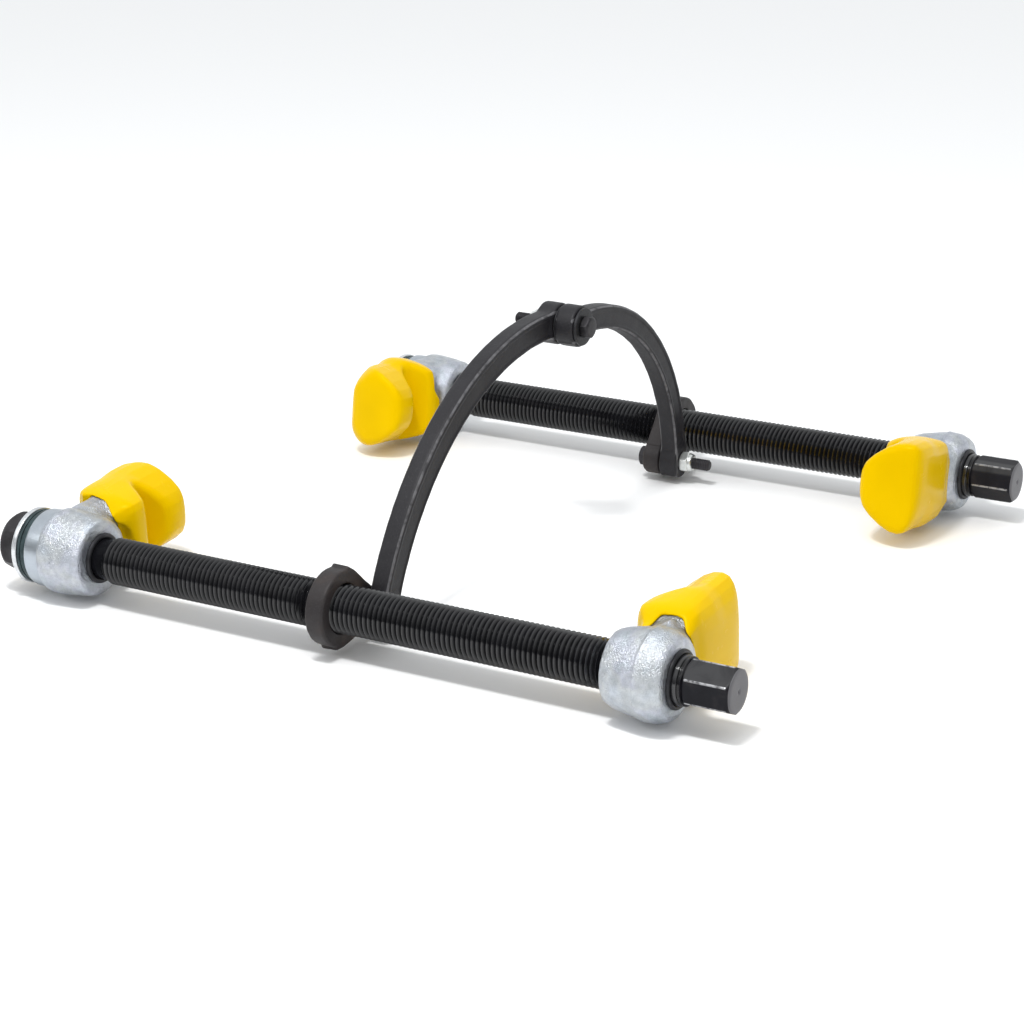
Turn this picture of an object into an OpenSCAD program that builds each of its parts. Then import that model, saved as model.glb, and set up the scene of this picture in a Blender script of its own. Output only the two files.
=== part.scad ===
// Coil spring compressor: two screw spindles with hook jaws, joined by a
// hinged safety bracket of two half-arches.
// Frame: +X along the spindles towards the drive hexagons, +Z up, the origin
// on the ground below the middle of the whole tool. The front spindle lies
// at -Y and the rear one at +Y.

/* [Layout] */
// Distance between the two spindle axes
spindle_gap = 313.5; // [290:0.5:330]
// How far the rear spindle lies towards +X of the front one
assembly_shift = 6.8; // [0:0.1:12]
// Height of the spindle axes above the ground
axis_h = 22.1; // [22.1:0.1:24]
// Upward tilt of the front claws about their spindle
front_tilt = 2.5; // [2.5:0.1:10]
// Upward tilt of the rear claws about their spindle
rear_tilt = 7; // [2.5:0.1:10]

/* [Spindle] */
// Length from the drive hexagon's end face to the head nut's end face
spindle_len = 380.4; // [378:0.1:384]
// Thread major diameter, M22
thread_d = 22; // [22:0.5:22]
// Neck diameter, through the fixed jaw
neck_d = 19; // [18:0.5:19]
// Where the thread starts, from the hexagon's end face
thread_start = 320; // [310:0.5:323]
// Drive hexagon across its flats
drive_af = 19; // [19:1:19]
// Drive hexagon length
drive_len = 21.5; // [18:0.5:24]
// Turn of the front spindle's hexagon about its axis
front_hex_turn = 4.5; // [-30:0.5:30]
// Turn of the rear spindle's hexagon about its axis
rear_hex_turn = 22; // [-30:0.5:30]

/* [Head] */
// Head hexagon across its flats
head_af = 26; // [24:0.5:27]
// Head hexagon height
head_h = 13; // [12:0.1:13.5]
// Zinc washer outside diameter
washer_d = 36.2; // [34:0.1:36.8]
// Zinc washer thickness
washer_t = 2.5; // [2:0.1:3]
// Thrust ring outside diameter
thrust_d = 35; // [32:0.1:35.6]

/* [Jaws] */
// Largest radius of a jaw's boss
boss_r = 20.9; // [20.4:0.1:21.2]
// Claw centre of the fixed jaw, from the hexagon's end face
fixed_at = 347.1; // [346:0.1:348]
// Claw centre of the travelling jaw, from the hexagon's end face
travel_at = 41.3; // [40:0.1:60]
// Wall of the yellow claw cover
cover_t = 1.8; // [1.4:0.1:2.2]

/* [Bracket] */
// Right face of the front ring, from the front hexagon's end face
front_ring_at = 192.2; // [185:0.1:200]
// Width of a bracket ring along the spindle
ring_w = 9.5; // [8:0.5:10]
// Outside diameter of a bracket ring
ring_d = 35; // [33:0.5:36]
// Distance of a ring's pivot from the spindle axis
lug_reach = 24; // [23:0.5:26]
// Thickness of a half-arch along the spindles
arch_t = 10; // [8:0.5:10]
// Depth of the front half-arch's bar in the plane of the arch
front_arch_w = 13.4; // [12:0.1:13.4]
// Depth of the rear half-arch's bar in the plane of the arch
rear_arch_w = 12; // [10:0.5:13]
// Top pivot's distance behind the front spindle
top_y = 179.9; // [175:0.1:185]
// Top pivot's height above the spindle axes
top_z = 89.6; // [85:0.1:95]
// Bend radius of the front half-arch's centre line
front_bend = 150.4; // [140:0.1:170]
// Bend radius of the rear half-arch's centre line
rear_bend = 104; // [98:1:115]
// Pivot bolt diameter, M6
bolt_d = 6; // [6:1:6]

/* [Hidden] */
$fn = 64;
eps = 0.01;
run = 0.06;               // radial running clearance
thread_r = thread_d / 2;
neck_r = neck_d / 2;
x_end = spindle_len / 2;  // hexagon end face before the side shift
stub_r = 8;
head_x = -spindle_len;    // positions along one assembly, hexagon end face = 0
washer_x = head_x + head_h + 0.1;
thrust_x = washer_x + washer_t + 0.15;
thrust_w = 4.85;
flange_x = thrust_x + thrust_w;
fixed_face = flange_x + 32;
travel_face = -travel_at - 15.8;
travel_back = -travel_at + 14.2;
rear_ring_x = -front_ring_at + 1 + arch_t;   // rear ring's right face, front reference
front_piv = [lug_reach * cos(16.7), -lug_reach * sin(16.7)];
rear_piv = [spindle_gap - lug_reach * cos(25.7), -lug_reach * sin(25.7)];
top_piv = [top_y, top_z];
nut_r = 5 / cos(30);
fixed_slim = [1, 1];         // claw widths, away from and towards the other jaw
travel_slim = [0.89, 0.94];

// ---- claw outlines: [towards the other jaw, away from the spindle] ----
claw_side = [[12.8, 5.4], [13.3, 13.1], [15.2, 18.1], [18.6, 20.4], [20.7, 23.4], [21.5, 26.9],
             [21.5, 30], [20.7, 32.7], [18.7, 34.9], [12.7, 38], [9.8, 39.3], [7.7, 40.7],
             [6.3, 42.3], [6.3, 43.8], [7.6, 45.5], [9.6, 47], [18, 50.8], [20, 52.8],
             [20.9, 55.5], [20.9, 59.1], [19.8, 63.5], [17.5, 66.2], [14, 67.2], [7.6, 67.3],
             [-1.6, 66.6], [-7.9, 65.5], [-11.6, 64], [-13.9, 61], [-14.9, 56.4], [-15.3, 49.8],
             [-14.8, 34.4], [-14.5, 29.5], [-13.9, 25.6], [-13.1, 22.9], [-12.6, 16.5],
             [-12.5, 6.6], [-6.2, 1.6], [6.3, 1.6]];
claw_lobe = [[-12.3, -16.8], [-7.3, -22.2], [-0.2, -23.6], [8.8, -21.1], [15.3, -18.6],
             [19.3, -16.2], [21.2, -7.5], [21.2, 7.5], [19.3, 16.2], [15.3, 18.6], [8.8, 21.1],
             [-0.2, 23.8], [-8.1, 22.9], [-14.7, 18.4], [-17.3, 8.6], [-15.7, -6.5]];
claw_tip = [[-10.8, -14.8], [-5.8, -20.6], [2.9, -19.6], [15.4, -11.8], [21.6, -3.5],
             [21.6, 5.3], [15.2, 14], [2.4, 22.5], [-7.7, 24.5], [-15.1, 19.8], [-17.4, 10.2],
             [-14.7, -4.6]];
// claw height against reach: [away from the spindle, up]
claw_front = [[-3, -16.5], [14, -17.6], [31, -22.3], [48.7, -25.4], [62.4, -25.4], [67, -20.6],
             [67, 20.6], [62.4, 25.4], [48.7, 25.4], [31, 22.3], [14, 17.6], [-3, 16.5]];

function unit(v) = v / norm(v);
// moves every edge of an anticlockwise outline inwards by d
function inset(P, d) = [for (i = [0 : len(P) - 1])
    let (a = P[(i + len(P) - 1) % len(P)], b = P[i], c = P[(i + 1) % len(P)],
         e1 = unit(b - a), e2 = unit(c - b), n1 = [-e1[1], e1[0]], n2 = [-e2[1], e2[0]])
    b + d / (1 + n1 * n2) * (n1 + n2)];

// ---- placing ----
// children are drawn with the hexagon's end face at x = 0 on the spindle
// axis and their claw towards +Y; side -1 is the front, +1 the rear
module side(s) {
    translate([x_end + s * assembly_shift / 2, s * spindle_gap / 2, axis_h])
        if (s < 0) children(); else mirror([0, 1, 0]) children();
}
// children are drawn against the front spindle's axis and hexagon end face
module bracket() {
    translate([x_end - assembly_shift / 2, -spindle_gap / 2, axis_h]) children();
}
// a solid of revolution about X from [x, r] points
module turned(P) {
    rotate([0, 90, 0]) rotate_extrude($fn = 96) polygon([for (p = P) [p[1], p[0]]]);
}
module along_x(x, r, l, f = 64) {
    translate([x, 0, 0]) rotate([0, 90, 0]) cylinder(r = r, h = l, $fn = f);
}

// ---- spindle ----
module spindle(turn) {
    hr = drive_af / 2 / cos(30);
    turned([[head_x + 0.6, 0], [head_x + 0.6, stub_r - 0.8], [head_x + 1.4, stub_r],
            [head_x + head_h, stub_r], [head_x + head_h, neck_r],
            [-thread_start - 0.6, neck_r], [-thread_start + 1.2, thread_r],
            [-30, thread_r], [-29.2, thread_r - 0.9], [-27.6, thread_r - 0.9], [-27.2, thread_r - 0.05],
            [-drive_len - 1.8, thread_r - 0.05], [-drive_len - 1.4, thread_r - 0.8],
            [-drive_len + 0.5, thread_r - 0.8], [-drive_len + 0.5, 0]]);
    intersection() {
        rotate([turn, 0, 0]) along_x(-drive_len, hr, drive_len, 6);
        turned([[-drive_len - 0.1, 0], [-drive_len - 0.1, hr - 0.9], [-drive_len + 1.1, hr + 0.2],
                [-1.7, hr + 0.2], [0, hr - 1.9], [0, 0]]);
    }
}
module head_nut() {
    hr = head_af / 2 / cos(30);
    difference() {
        intersection() {
            rotate([-7, 0, 0]) along_x(head_x, hr, head_h, 6);
            turned([[head_x, 0], [head_x, hr - 3.2], [head_x + 1.6, hr - 0.9], [head_x + 3, hr + 0.1],
                    [head_x + head_h, hr + 0.1], [head_x + head_h, 0]]);
        }
        along_x(head_x - 1, stub_r + 0.02, head_h + 2);
    }
}
module washer() {
    difference() {
        turned([[washer_x, 0], [washer_x, washer_d / 2 - 0.5], [washer_x + 0.5, washer_d / 2],
                [washer_x + washer_t - 0.5, washer_d / 2], [washer_x + washer_t, washer_d / 2 - 0.5], [washer_x + washer_t, 0]]);
        along_x(washer_x - 1, neck_r + 0.02, washer_t + 2);
    }
}
module thrust_ring() {
    difference() {
        turned([[thrust_x, 0], [thrust_x, thrust_d / 2 - 0.6], [thrust_x + 0.6, thrust_d / 2],
                [thrust_x + thrust_w, thrust_d / 2], [thrust_x + thrust_w, 0]]);
        along_x(thrust_x - 1, neck_r + run, thrust_w + 2);
    }
}

// ---- jaws ----
// widths of an outline drawn in or out, unevenly on its two sides
function slim(P, k) = [for (p = P) [p[0] * (p[0] < 0 ? k[0] : k[1]), p[1]]];
// the claw's solid: d = 0 is the covered outline, d > 0 lies inside it
module claw(d, k) {
    intersection() {
        translate([0, 0, -30]) linear_extrude(60) polygon(inset(slim(claw_side, k), d));
        union() {
            translate([0, 43, 0]) rotate([90, 0, 0]) linear_extrude(42) polygon(inset(slim(claw_lobe, k), d));
            translate([0, 78, 0]) rotate([90, 0, 0]) linear_extrude(35) polygon(inset(slim(claw_tip, k), d));
        }
        translate([-30, 0, 0]) rotate([90, 0, 90]) linear_extrude(60) polygon(inset(claw_front, d));
    }
}
module fixed_boss(g = 0) {
    turned([[flange_x - g, 0], [flange_x - g, 17.9 + g], [flange_x + 0.6, 18.5 + g], [flange_x + 8.4, 18.7 + g], [flange_x + 9.2, 19.6 + g],
            [flange_x + 10.2, boss_r - 0.7 + g], [flange_x + 13, boss_r - 0.5 + g], [flange_x + 18, boss_r - 0.9 + g], [fixed_face - 8, boss_r - 1.6 + g],
            [fixed_face - 2, 18.4 + g], [fixed_face - 0.5, 17.4 + g], [fixed_face, 15.9 + g], [fixed_face + g, 0]]);
}
module travel_boss(g = 0) {
    turned([[travel_face - g, 0], [travel_face - g, 14.4 + g], [travel_face + 1, 16.4 + g], [travel_face + 4.5, 17.9 + g], [travel_face + 12, 19.5 + g],
            [travel_face + 19.5, boss_r - 0.2 + g], [travel_face + 24, boss_r - 0.6 + g],
            [travel_back - 2.4, 18.7 + g], [travel_back - 0.6, 17.4 + g], [travel_back, 15.6 + g], [travel_back + g, 0]]);
}
// a claw's place: tilted about the spindle; the travelling jaw's is turned end
// for end, and over = 1 stands for a jaw whose claw is upside down
module claw_at(x, way, tilt, over) {
    translate([x, 0, 0]) rotate([tilt, 0, 0]) mirror([0, 0, over]) if (way > 0) children(); else mirror([1, 0, 0]) children();
}
module fixed_jaw(tilt, over) {
    difference() {
        union() { fixed_boss(); claw_at(-fixed_at, 1, tilt, over) claw(cover_t, fixed_slim); }
        along_x(flange_x - 5, neck_r + 1.9, 60);
    }
}
// flanged sleeve that the neck turns in
module fixed_bush() {
    difference() {
        turned([[fixed_face - 20, 0], [fixed_face - 20, neck_r + 1.88], [fixed_face, neck_r + 1.88], [fixed_face, 11.9],
                [fixed_face + 1, 11.9], [fixed_face + 1.6, 11.3], [fixed_face + 1.6, 0]]);
        along_x(fixed_face - 30, neck_r + run, 60);
    }
}
module travel_jaw(tilt, over) {
    difference() {
        union() { travel_boss(); claw_at(-travel_at, -1, tilt, over) claw(cover_t, travel_slim); }
        along_x(travel_face - 5, thread_r + 1.25, 60);
    }
}
// flanged nut insert that runs on the thread
module travel_insert() {
    difference() {
        turned([[travel_face + 1, 0], [travel_face + 1, thread_r + 1.23], [travel_back, thread_r + 1.23], [travel_back, 12.9],
                [travel_back + 0.9, 12.9], [travel_back + 1.5, 12.3], [travel_back + 1.5, 0]]);
        along_x(travel_face - 5, thread_r + run, 60);
    }
}
// the fixed jaw's cover edge: straight round the arm, with a lower apron on the
// side towards the other jaw and a rise in the middle of that apron
module fixed_zone() {
    difference() {
        union() {
            translate([-30, 23.6, -30]) cube([60, 60, 60]);
            translate([9, 18, -30]) cube([30, 10, 60]);
        }
        translate([8, 17.8, 0]) rotate([0, 90, 0]) cylinder(r = 7.4, h = 20, $fn = 64);
    }
}
// the travelling jaw's: a narrow arch over the arm, low on both sides of it
module travel_zone() {
    translate([-30, 22.6, -30]) cube([60, 60, 60]);
    translate([-30, 15, -30]) cube([21, 10, 60]);
    translate([8, 16, -30]) cube([30, 10, 60]);
}
module fixed_cover(tilt, over) {
    difference() {
        claw_at(-fixed_at, 1, tilt, over) difference() {
            intersection() { claw(0, fixed_slim); fixed_zone(); }
            claw(cover_t, fixed_slim);
        }
        fixed_boss(0.3);
    }
}
module travel_cover(tilt, over) {
    difference() {
        claw_at(-travel_at, -1, tilt, over) difference() {
            intersection() { claw(0, travel_slim); travel_zone(); }
            claw(cover_t, travel_slim);
        }
        travel_boss(0.3);
    }
}

// ---- bracket ----
// ring around a spindle with a lug towards piv, [y, z] from the ring's centre
module ring(piv, r2 = 8) {
    r1 = ring_d / 2;
    dist = norm(piv);
    a = atan2(piv[1], piv[0]);
    b = acos((r1 - r2) / dist);
    difference() {
        union() {
            turned([[0, 0], [0, r1 - 0.8], [0.8, r1], [ring_w - 0.8, r1], [ring_w, r1 - 0.8], [ring_w, 0]]);
            along_x_at(piv, 0, r2, ring_w);
            rotate([90, 0, 90]) linear_extrude(ring_w) polygon([
                r1 * [cos(a + b), sin(a + b)], [0, 0], r1 * [cos(a - b), sin(a - b)],
                piv + r2 * [cos(a - b), sin(a - b)], piv + r2 * [cos(a + b), sin(a + b)]]);
        }
        along_x(-1, thread_r + 0.08, ring_w + 2);
        along_x_at(piv, -1, bolt_d / 2 + run, ring_w + 2);
    }
}
module along_x_at(p, x, r, l, f = 64) {
    translate([0, p[0], p[1]]) along_x(x, r, l, f);
}
// section of the bar: bevelled edges and a shallow channel down each face
function bar_section(depth) = let (w = depth / 2, t = arch_t, c = 1.6, g = 0.8)
    [[-w, c], [-w + c, 0], [-w + 2.6, 0], [-w + 3.2, g], [w - 3.2, g], [w - 2.6, 0], [w - c, 0], [w, c],
     [w, t - c], [w - c, t], [w - 2.6, t], [w - 3.2, t - g], [-w + 3.2, t - g], [-w + 2.6, t], [-w + c, t], [-w, t - c]];
// curved bar between two pivots, bulging upwards, with an eye at each end
module half_arch(p0, p1, bend, depth, r0, r1) {
    ch = p1 - p0;
    l = norm(ch);
    u = ch / l;
    n = [-u[1], u[0]];
    m = (p0 + p1) / 2 - n * sqrt(bend * bend - l * l / 4);
    a0 = atan2(p0[1] - m[1], p0[0] - m[0]);
    a1 = atan2(p1[1] - m[1], p1[0] - m[0]);
    difference() {
        union() {
            translate([0, m[0], m[1]]) rotate([90, 0, 90]) rotate([0, 0, a1])
                rotate_extrude(angle = a0 - a1, $fn = 180) polygon([for (q = bar_section(depth)) [bend + q[0], q[1]]]);
            eye(p0, r0);
            eye(p1, r1);
        }
        along_x_at(p0, -1, bolt_d / 2 + run, arch_t + 2);
        along_x_at(p1, -1, bolt_d / 2 + run, arch_t + 2);
    }
}
module eye(p, r) {
    translate([0, p[0], p[1]]) turned([[0, 0], [0, r - 0.9], [0.9, r], [arch_t - 0.9, r], [arch_t, r - 0.9], [arch_t, 0]]);
}
// hexagon bolt along X: head from x to x + 4, shank to x1; way -1 points the head to +X
module bolt(p, x, x1) {
    s = x1 > x ? 1 : -1;
    translate([0, p[0], p[1]]) {
        translate([min(x, x + s * 4), 0, 0]) intersection() {
            rotate([0, 90, 0]) cylinder(r = nut_r, h = 4, $fn = 6);
            turned(s > 0 ? [[0, 0], [0, nut_r - 0.9], [0.8, nut_r + 0.1], [4, nut_r + 0.1], [4, 0]]
                         : [[0, 0], [0, nut_r + 0.1], [3.2, nut_r + 0.1], [4, nut_r - 0.9], [4, 0]]);
        }
        turned(s > 0 ? [[x + 3.9, 0], [x + 3.9, bolt_d / 2], [x1 - 0.7, bolt_d / 2], [x1, bolt_d / 2 - 0.7], [x1, 0]]
                     : [[x1, 0], [x1, bolt_d / 2 - 0.7], [x1 + 0.7, bolt_d / 2], [x - 3.9, bolt_d / 2], [x - 3.9, 0]]);
    }
}
// locking nut: hexagon with a round collar on its outer side
module nut(p, x, way) {
    translate([x, p[0], p[1]]) rotate([0, 0, 0]) difference() {
        union() {
            intersection() {
                along_x(way > 0 ? 0 : 2, nut_r, 4.6, 6);
                turned(way > 0 ? [[0, 0], [0, nut_r - 0.5], [0.6, nut_r + 0.1], [3.9, nut_r + 0.1], [4.6, nut_r - 0.6], [4.6, 0]]
                               : [[2, 0], [2, nut_r - 0.6], [2.7, nut_r + 0.1], [6, nut_r + 0.1], [6.6, nut_r - 0.5], [6.6, 0]]);
            }
            turned(way > 0 ? [[4, 0], [4, 4.9], [5.8, 4.6], [6.6, 3.9], [6.6, 0]]
                           : [[0, 0], [0, 3.9], [0.8, 4.6], [2.6, 4.9], [2.6, 0]]);
        }
        along_x(-1, bolt_d / 2 + 0.02, 10);
    }
}

fr_x = -front_ring_at;            // right face of the front ring
fa_x = fr_x + 0.3;                // left face of the front half-arch
ra_x = rear_ring_x + 0.3;         // left face of the rear half-arch

module front_spindle() { color([0.07, 0.07, 0.08]) side(-1) spindle(front_hex_turn); }
module rear_spindle() { color([0.07, 0.07, 0.08]) side(1) spindle(rear_hex_turn); }
module front_head_nut() { color([0.09, 0.09, 0.1]) side(-1) head_nut(); }
module rear_head_nut() { color([0.09, 0.09, 0.1]) side(1) head_nut(); }
module front_washer() { color([0.78, 0.8, 0.82]) side(-1) washer(); }
module rear_washer() { color([0.78, 0.8, 0.82]) side(1) washer(); }
module front_thrust_ring() { color([0.14, 0.19, 0.2]) side(-1) thrust_ring(); }
module rear_thrust_ring() { color([0.14, 0.19, 0.2]) side(1) thrust_ring(); }
module front_fixed_jaw() { color([0.72, 0.75, 0.79]) side(-1) fixed_jaw(front_tilt, 0); }
module rear_fixed_jaw() { color([0.72, 0.75, 0.79]) side(1) fixed_jaw(rear_tilt, 1); }
module front_fixed_bush() { color([0.08, 0.08, 0.09]) side(-1) fixed_bush(); }
module rear_fixed_bush() { color([0.08, 0.08, 0.09]) side(1) fixed_bush(); }
module front_fixed_cover() { color([0.93, 0.74, 0.02]) side(-1) fixed_cover(front_tilt, 0); }
module rear_fixed_cover() { color([0.93, 0.74, 0.02]) side(1) fixed_cover(rear_tilt, 1); }
module front_travel_jaw() { color([0.72, 0.75, 0.79]) side(-1) travel_jaw(front_tilt, 1); }
module rear_travel_jaw() { color([0.72, 0.75, 0.79]) side(1) travel_jaw(rear_tilt, 0); }
module front_travel_insert() { color([0.08, 0.08, 0.09]) side(-1) travel_insert(); }
module rear_travel_insert() { color([0.08, 0.08, 0.09]) side(1) travel_insert(); }
module front_travel_cover() { color([0.93, 0.74, 0.02]) side(-1) travel_cover(front_tilt, 1); }
module rear_travel_cover() { color([0.93, 0.74, 0.02]) side(1) travel_cover(rear_tilt, 0); }
module front_ring() { color([0.16, 0.15, 0.15]) bracket() translate([fr_x - ring_w, 0, 0]) ring(front_piv); }
module rear_ring() {
    color([0.16, 0.15, 0.15]) bracket() translate([rear_ring_x - ring_w, spindle_gap, 0])
        ring([rear_piv[0] - spindle_gap, rear_piv[1]]);
}
module front_half_arch() { color([0.13, 0.13, 0.14]) bracket() translate([fa_x, 0, 0]) half_arch(front_piv, top_piv, front_bend, front_arch_w, 8.4, 10.2); }
module rear_half_arch() { color([0.13, 0.13, 0.14]) bracket() translate([ra_x, 0, 0]) half_arch(top_piv, rear_piv, rear_bend, rear_arch_w, 10.2, 8.8); }
module front_pivot_bolt() { color([0.1, 0.1, 0.1]) bracket() bolt(front_piv, fr_x - ring_w - 4.1, fr_x + 26); }
module rear_pivot_bolt() { color([0.1, 0.1, 0.1]) bracket() bolt(rear_piv, rear_ring_x - ring_w - 4.1, rear_ring_x + 26.5); }
module front_pivot_nut() { color([0.8, 0.82, 0.84]) bracket() nut(front_piv, fr_x + 0.3 + arch_t + 0.2, 1); }
module rear_pivot_nut() { color([0.8, 0.82, 0.84]) bracket() nut(rear_piv, rear_ring_x + 0.3 + arch_t + 0.2, 1); }
module top_pivot_bolt() { color([0.1, 0.1, 0.1]) bracket() bolt(top_piv, ra_x + arch_t + 1.6 + 4.1, fa_x - 15); }
module top_pivot_nut() { color([0.8, 0.82, 0.84]) bracket() nut(top_piv, fa_x - 0.1 - 6.6, -1); }
// one washer between the eyes and one under the bolt head
module top_washers() {
    color([0.2, 0.2, 0.2]) bracket() for (w = [[fa_x + arch_t + 0.15, 0.7], [ra_x + arch_t + 0.15, 1.3]])
        translate([0, top_piv[0], top_piv[1]]) difference() {
            along_x(w[0], 9.2, w[1]);
            along_x(w[0] - 1, bolt_d / 2 + run, 4);
        }
}

front_spindle();
front_head_nut();
front_washer();
front_thrust_ring();
front_fixed_jaw();
front_fixed_bush();
front_fixed_cover();
front_travel_jaw();
front_travel_insert();
front_travel_cover();
front_ring();
front_pivot_bolt();
front_pivot_nut();
front_half_arch();
top_pivot_bolt();
top_pivot_nut();
top_washers();
rear_half_arch();
rear_ring();
rear_pivot_bolt();
rear_pivot_nut();
rear_spindle();
rear_head_nut();
rear_washer();
rear_thrust_ring();
rear_fixed_jaw();
rear_fixed_bush();
rear_fixed_cover();
rear_travel_jaw();
rear_travel_insert();
rear_travel_cover();
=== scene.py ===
import math

import bpy
import numpy as np
from mathutils import Matrix, Vector


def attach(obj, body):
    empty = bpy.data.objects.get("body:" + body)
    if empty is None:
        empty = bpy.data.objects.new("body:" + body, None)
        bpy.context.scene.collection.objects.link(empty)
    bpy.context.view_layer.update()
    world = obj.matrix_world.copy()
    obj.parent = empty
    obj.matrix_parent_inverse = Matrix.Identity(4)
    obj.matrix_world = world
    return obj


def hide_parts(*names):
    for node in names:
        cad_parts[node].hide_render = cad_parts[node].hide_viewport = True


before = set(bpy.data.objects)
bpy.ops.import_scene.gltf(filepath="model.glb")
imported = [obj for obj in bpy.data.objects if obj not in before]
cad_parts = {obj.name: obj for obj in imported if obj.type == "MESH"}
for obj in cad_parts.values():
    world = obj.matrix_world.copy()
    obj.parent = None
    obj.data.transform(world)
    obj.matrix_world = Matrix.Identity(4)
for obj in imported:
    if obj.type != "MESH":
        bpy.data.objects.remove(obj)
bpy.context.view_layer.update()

# camera: its right, down and forward directions as columns, and its place from the front spindle's end, in mm
CAM_R = [[0.8652662, 0.1573084, -0.475992], [0.5012675, -0.2842257, 0.81728], [-0.0067241, -0.9457641, -0.3247845]]
CAM_C = [399.791, -868.472, 404.675]


# ---------------------------------------------------------------- geometry
# Everything below works in millimetres in one spindle's own coordinates:
# x along the spindle with 0 at the drive hexagon's end face, y towards the
# claw, z up from the spindle's axis.

TILT = {"front": math.radians(2.5), "rear": math.radians(7.0)}
FIXED_AT, TRAVEL_AT = -347.1, -41.3
COVER = 1.8
THREAD_R, NECK_R = 11.0, 9.5
FLANGE_X = -359.8
FIXED_FACE = FIXED_AT + 19.3
TRAVEL_FACE = TRAVEL_AT - 15.8
TRAVEL_BACK = TRAVEL_AT + 14.2


def chaikin(pts, n=2, closed=True, q=0.25):
    P = np.array(pts, float)
    for _ in range(n):
        A = P if closed else P[:-1]
        B = np.roll(P, -1, 0) if closed else P[1:]
        Q = np.empty((2 * len(A), 2))
        Q[0::2] = A * (1 - q) + B * q
        Q[1::2] = A * q + B * (1 - q)
        if not closed:
            Q = np.vstack([P[:1], Q, P[-1:]])
        P = Q
    return P


def sd_poly(px, py, V):
    """Signed distance to a closed outline, negative inside."""
    V = np.asarray(V, np.float32)
    px, py = np.broadcast_arrays(px.astype(np.float32), py.astype(np.float32))
    d = np.full(px.shape, 1e9, np.float32)
    s = np.ones(px.shape, np.float32)
    n = len(V)
    for i in range(n):
        ax, ay = V[i]
        bx, by = V[(i + 1) % n]
        ex, ey = bx - ax, by - ay
        wx, wy = px - ax, py - ay
        t = np.clip((wx * ex + wy * ey) / max(ex * ex + ey * ey, 1e-12), 0, 1)
        d = np.minimum(d, (wx - ex * t) ** 2 + (wy - ey * t) ** 2)
        c = ((ay <= py) & (by > py)) | ((by <= py) & (ay > py))
        if abs(by - ay) > 1e-9:
            xi = ax + (py - ay) * (bx - ax) / (by - ay)
            s = np.where(c & (px < xi), -s, s)
    return s * np.sqrt(d)


def smax(a, b, k):
    h = np.maximum(k - np.abs(a - b), 0) / k
    return np.maximum(a, b) + h * h * k * 0.25


def smin(a, b, k):
    return -smax(-a, -b, k)


def sstep(a, b, x):
    t = np.clip((x - a) / (b - a), 0, 1)
    return t * t * (3 - 2 * t)


def wobble(x, y, z, s, seed=0.0):
    """Slow, seeded unevenness of a casting, about -1 to 1."""
    r = np.zeros(np.broadcast(x, y, z).shape, np.float32)
    for i, (a, b, c, p) in enumerate(((1.0, 0.7, -0.5, 0.3), (-0.6, 1.1, 0.8, 2.1), (0.9, -0.8, 1.2, 4.4), (1.7, 1.3, -0.4, 1.2), (-1.2, 0.5, 1.9, 5.3))):
        r = r + np.sin((a * x + b * y + c * z) / s + p + seed * (i + 1))
    return r / 3.0


CLAW_SIDE = [[12.43, 1.62], [13.38, 16.91], [20.07, 21.62], [21.69, 28.67], [20.07, 34.08], [13.97, 37.37], [8.25, 39.96], [5.60, 43.02], [8.15, 46.31], [13.62, 48.90], [19.27, 51.49], [21.21, 56.90], [19.07, 65.76], [12.07, 67.63], [-6.07, 66.19], [-13.23, 63.30], [-15.30, 54.07], [-14.87, 36.90], [-14.20, 27.00], [-12.60, 21.50], [-12.29, 1.62]]
CLAW_LOBE = [[-14.73, -13.90], [-4.72, -24.69], [13.19, -19.59], [21.03, -14.91], [21.03, 14.91], [13.19, 19.59], [-4.72, 24.87], [-17.88, 16.03]]
CLAW_TIP = [[-13.20, -11.80], [-3.27, -23.30], [21.41, -7.85], [21.41, 9.67], [-3.91, 26.49], [-18.58, 17.37]]
CLAW_TIP_TRAVEL = [[-13.79, -13.20], [-3.27, -24.80], [21.41, -7.85], [21.41, 9.67], [-3.91, 26.49], [-18.58, 17.37]]
CLAW_FRONT = [[-3.08, -15.04], [13.38, -15.65], [31.02, -22.27], [48.66, -25.61], [62.85, -25.67], [67.34, -19.79], [67.34, 19.82], [62.85, 25.67], [48.66, 25.61], [31.02, 22.27], [13.38, 15.65], [-3.08, 15.04]]
CLAW_ARM = [[-14.65, -17.00], [-3.78, -24.50], [14.34, -17.50], [14.34, 17.50], [-3.78, 24.50], [-14.65, 17.00]]


# section of the bare metal arm under the cover's edge: [a, t]
ARM_FIXED = [[-11.6, -15.8], [-4, -18.6], [4, -18.0], [9, -14.8], [13.2, -11.5], [13.2, 11.5], [9, 14.8], [4, 18.0], [-4, 18.6], [-11.6, 15.8]]
ARM_TRAVEL = [[-9.4, -8], [-7.6, -13], [-2.2, -17.6], [4.4, -14.6], [10.4, -8], [10.4, 8], [4.4, 14.6], [-2.2, 17.6], [-7.6, 13], [-9.4, 8]]


def arm_height(r):
    return np.interp(r, [4.0, 13.4, 31.0, 48.7], [14.0, 15.6, 22.2, 24.5]).astype(np.float32)


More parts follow.
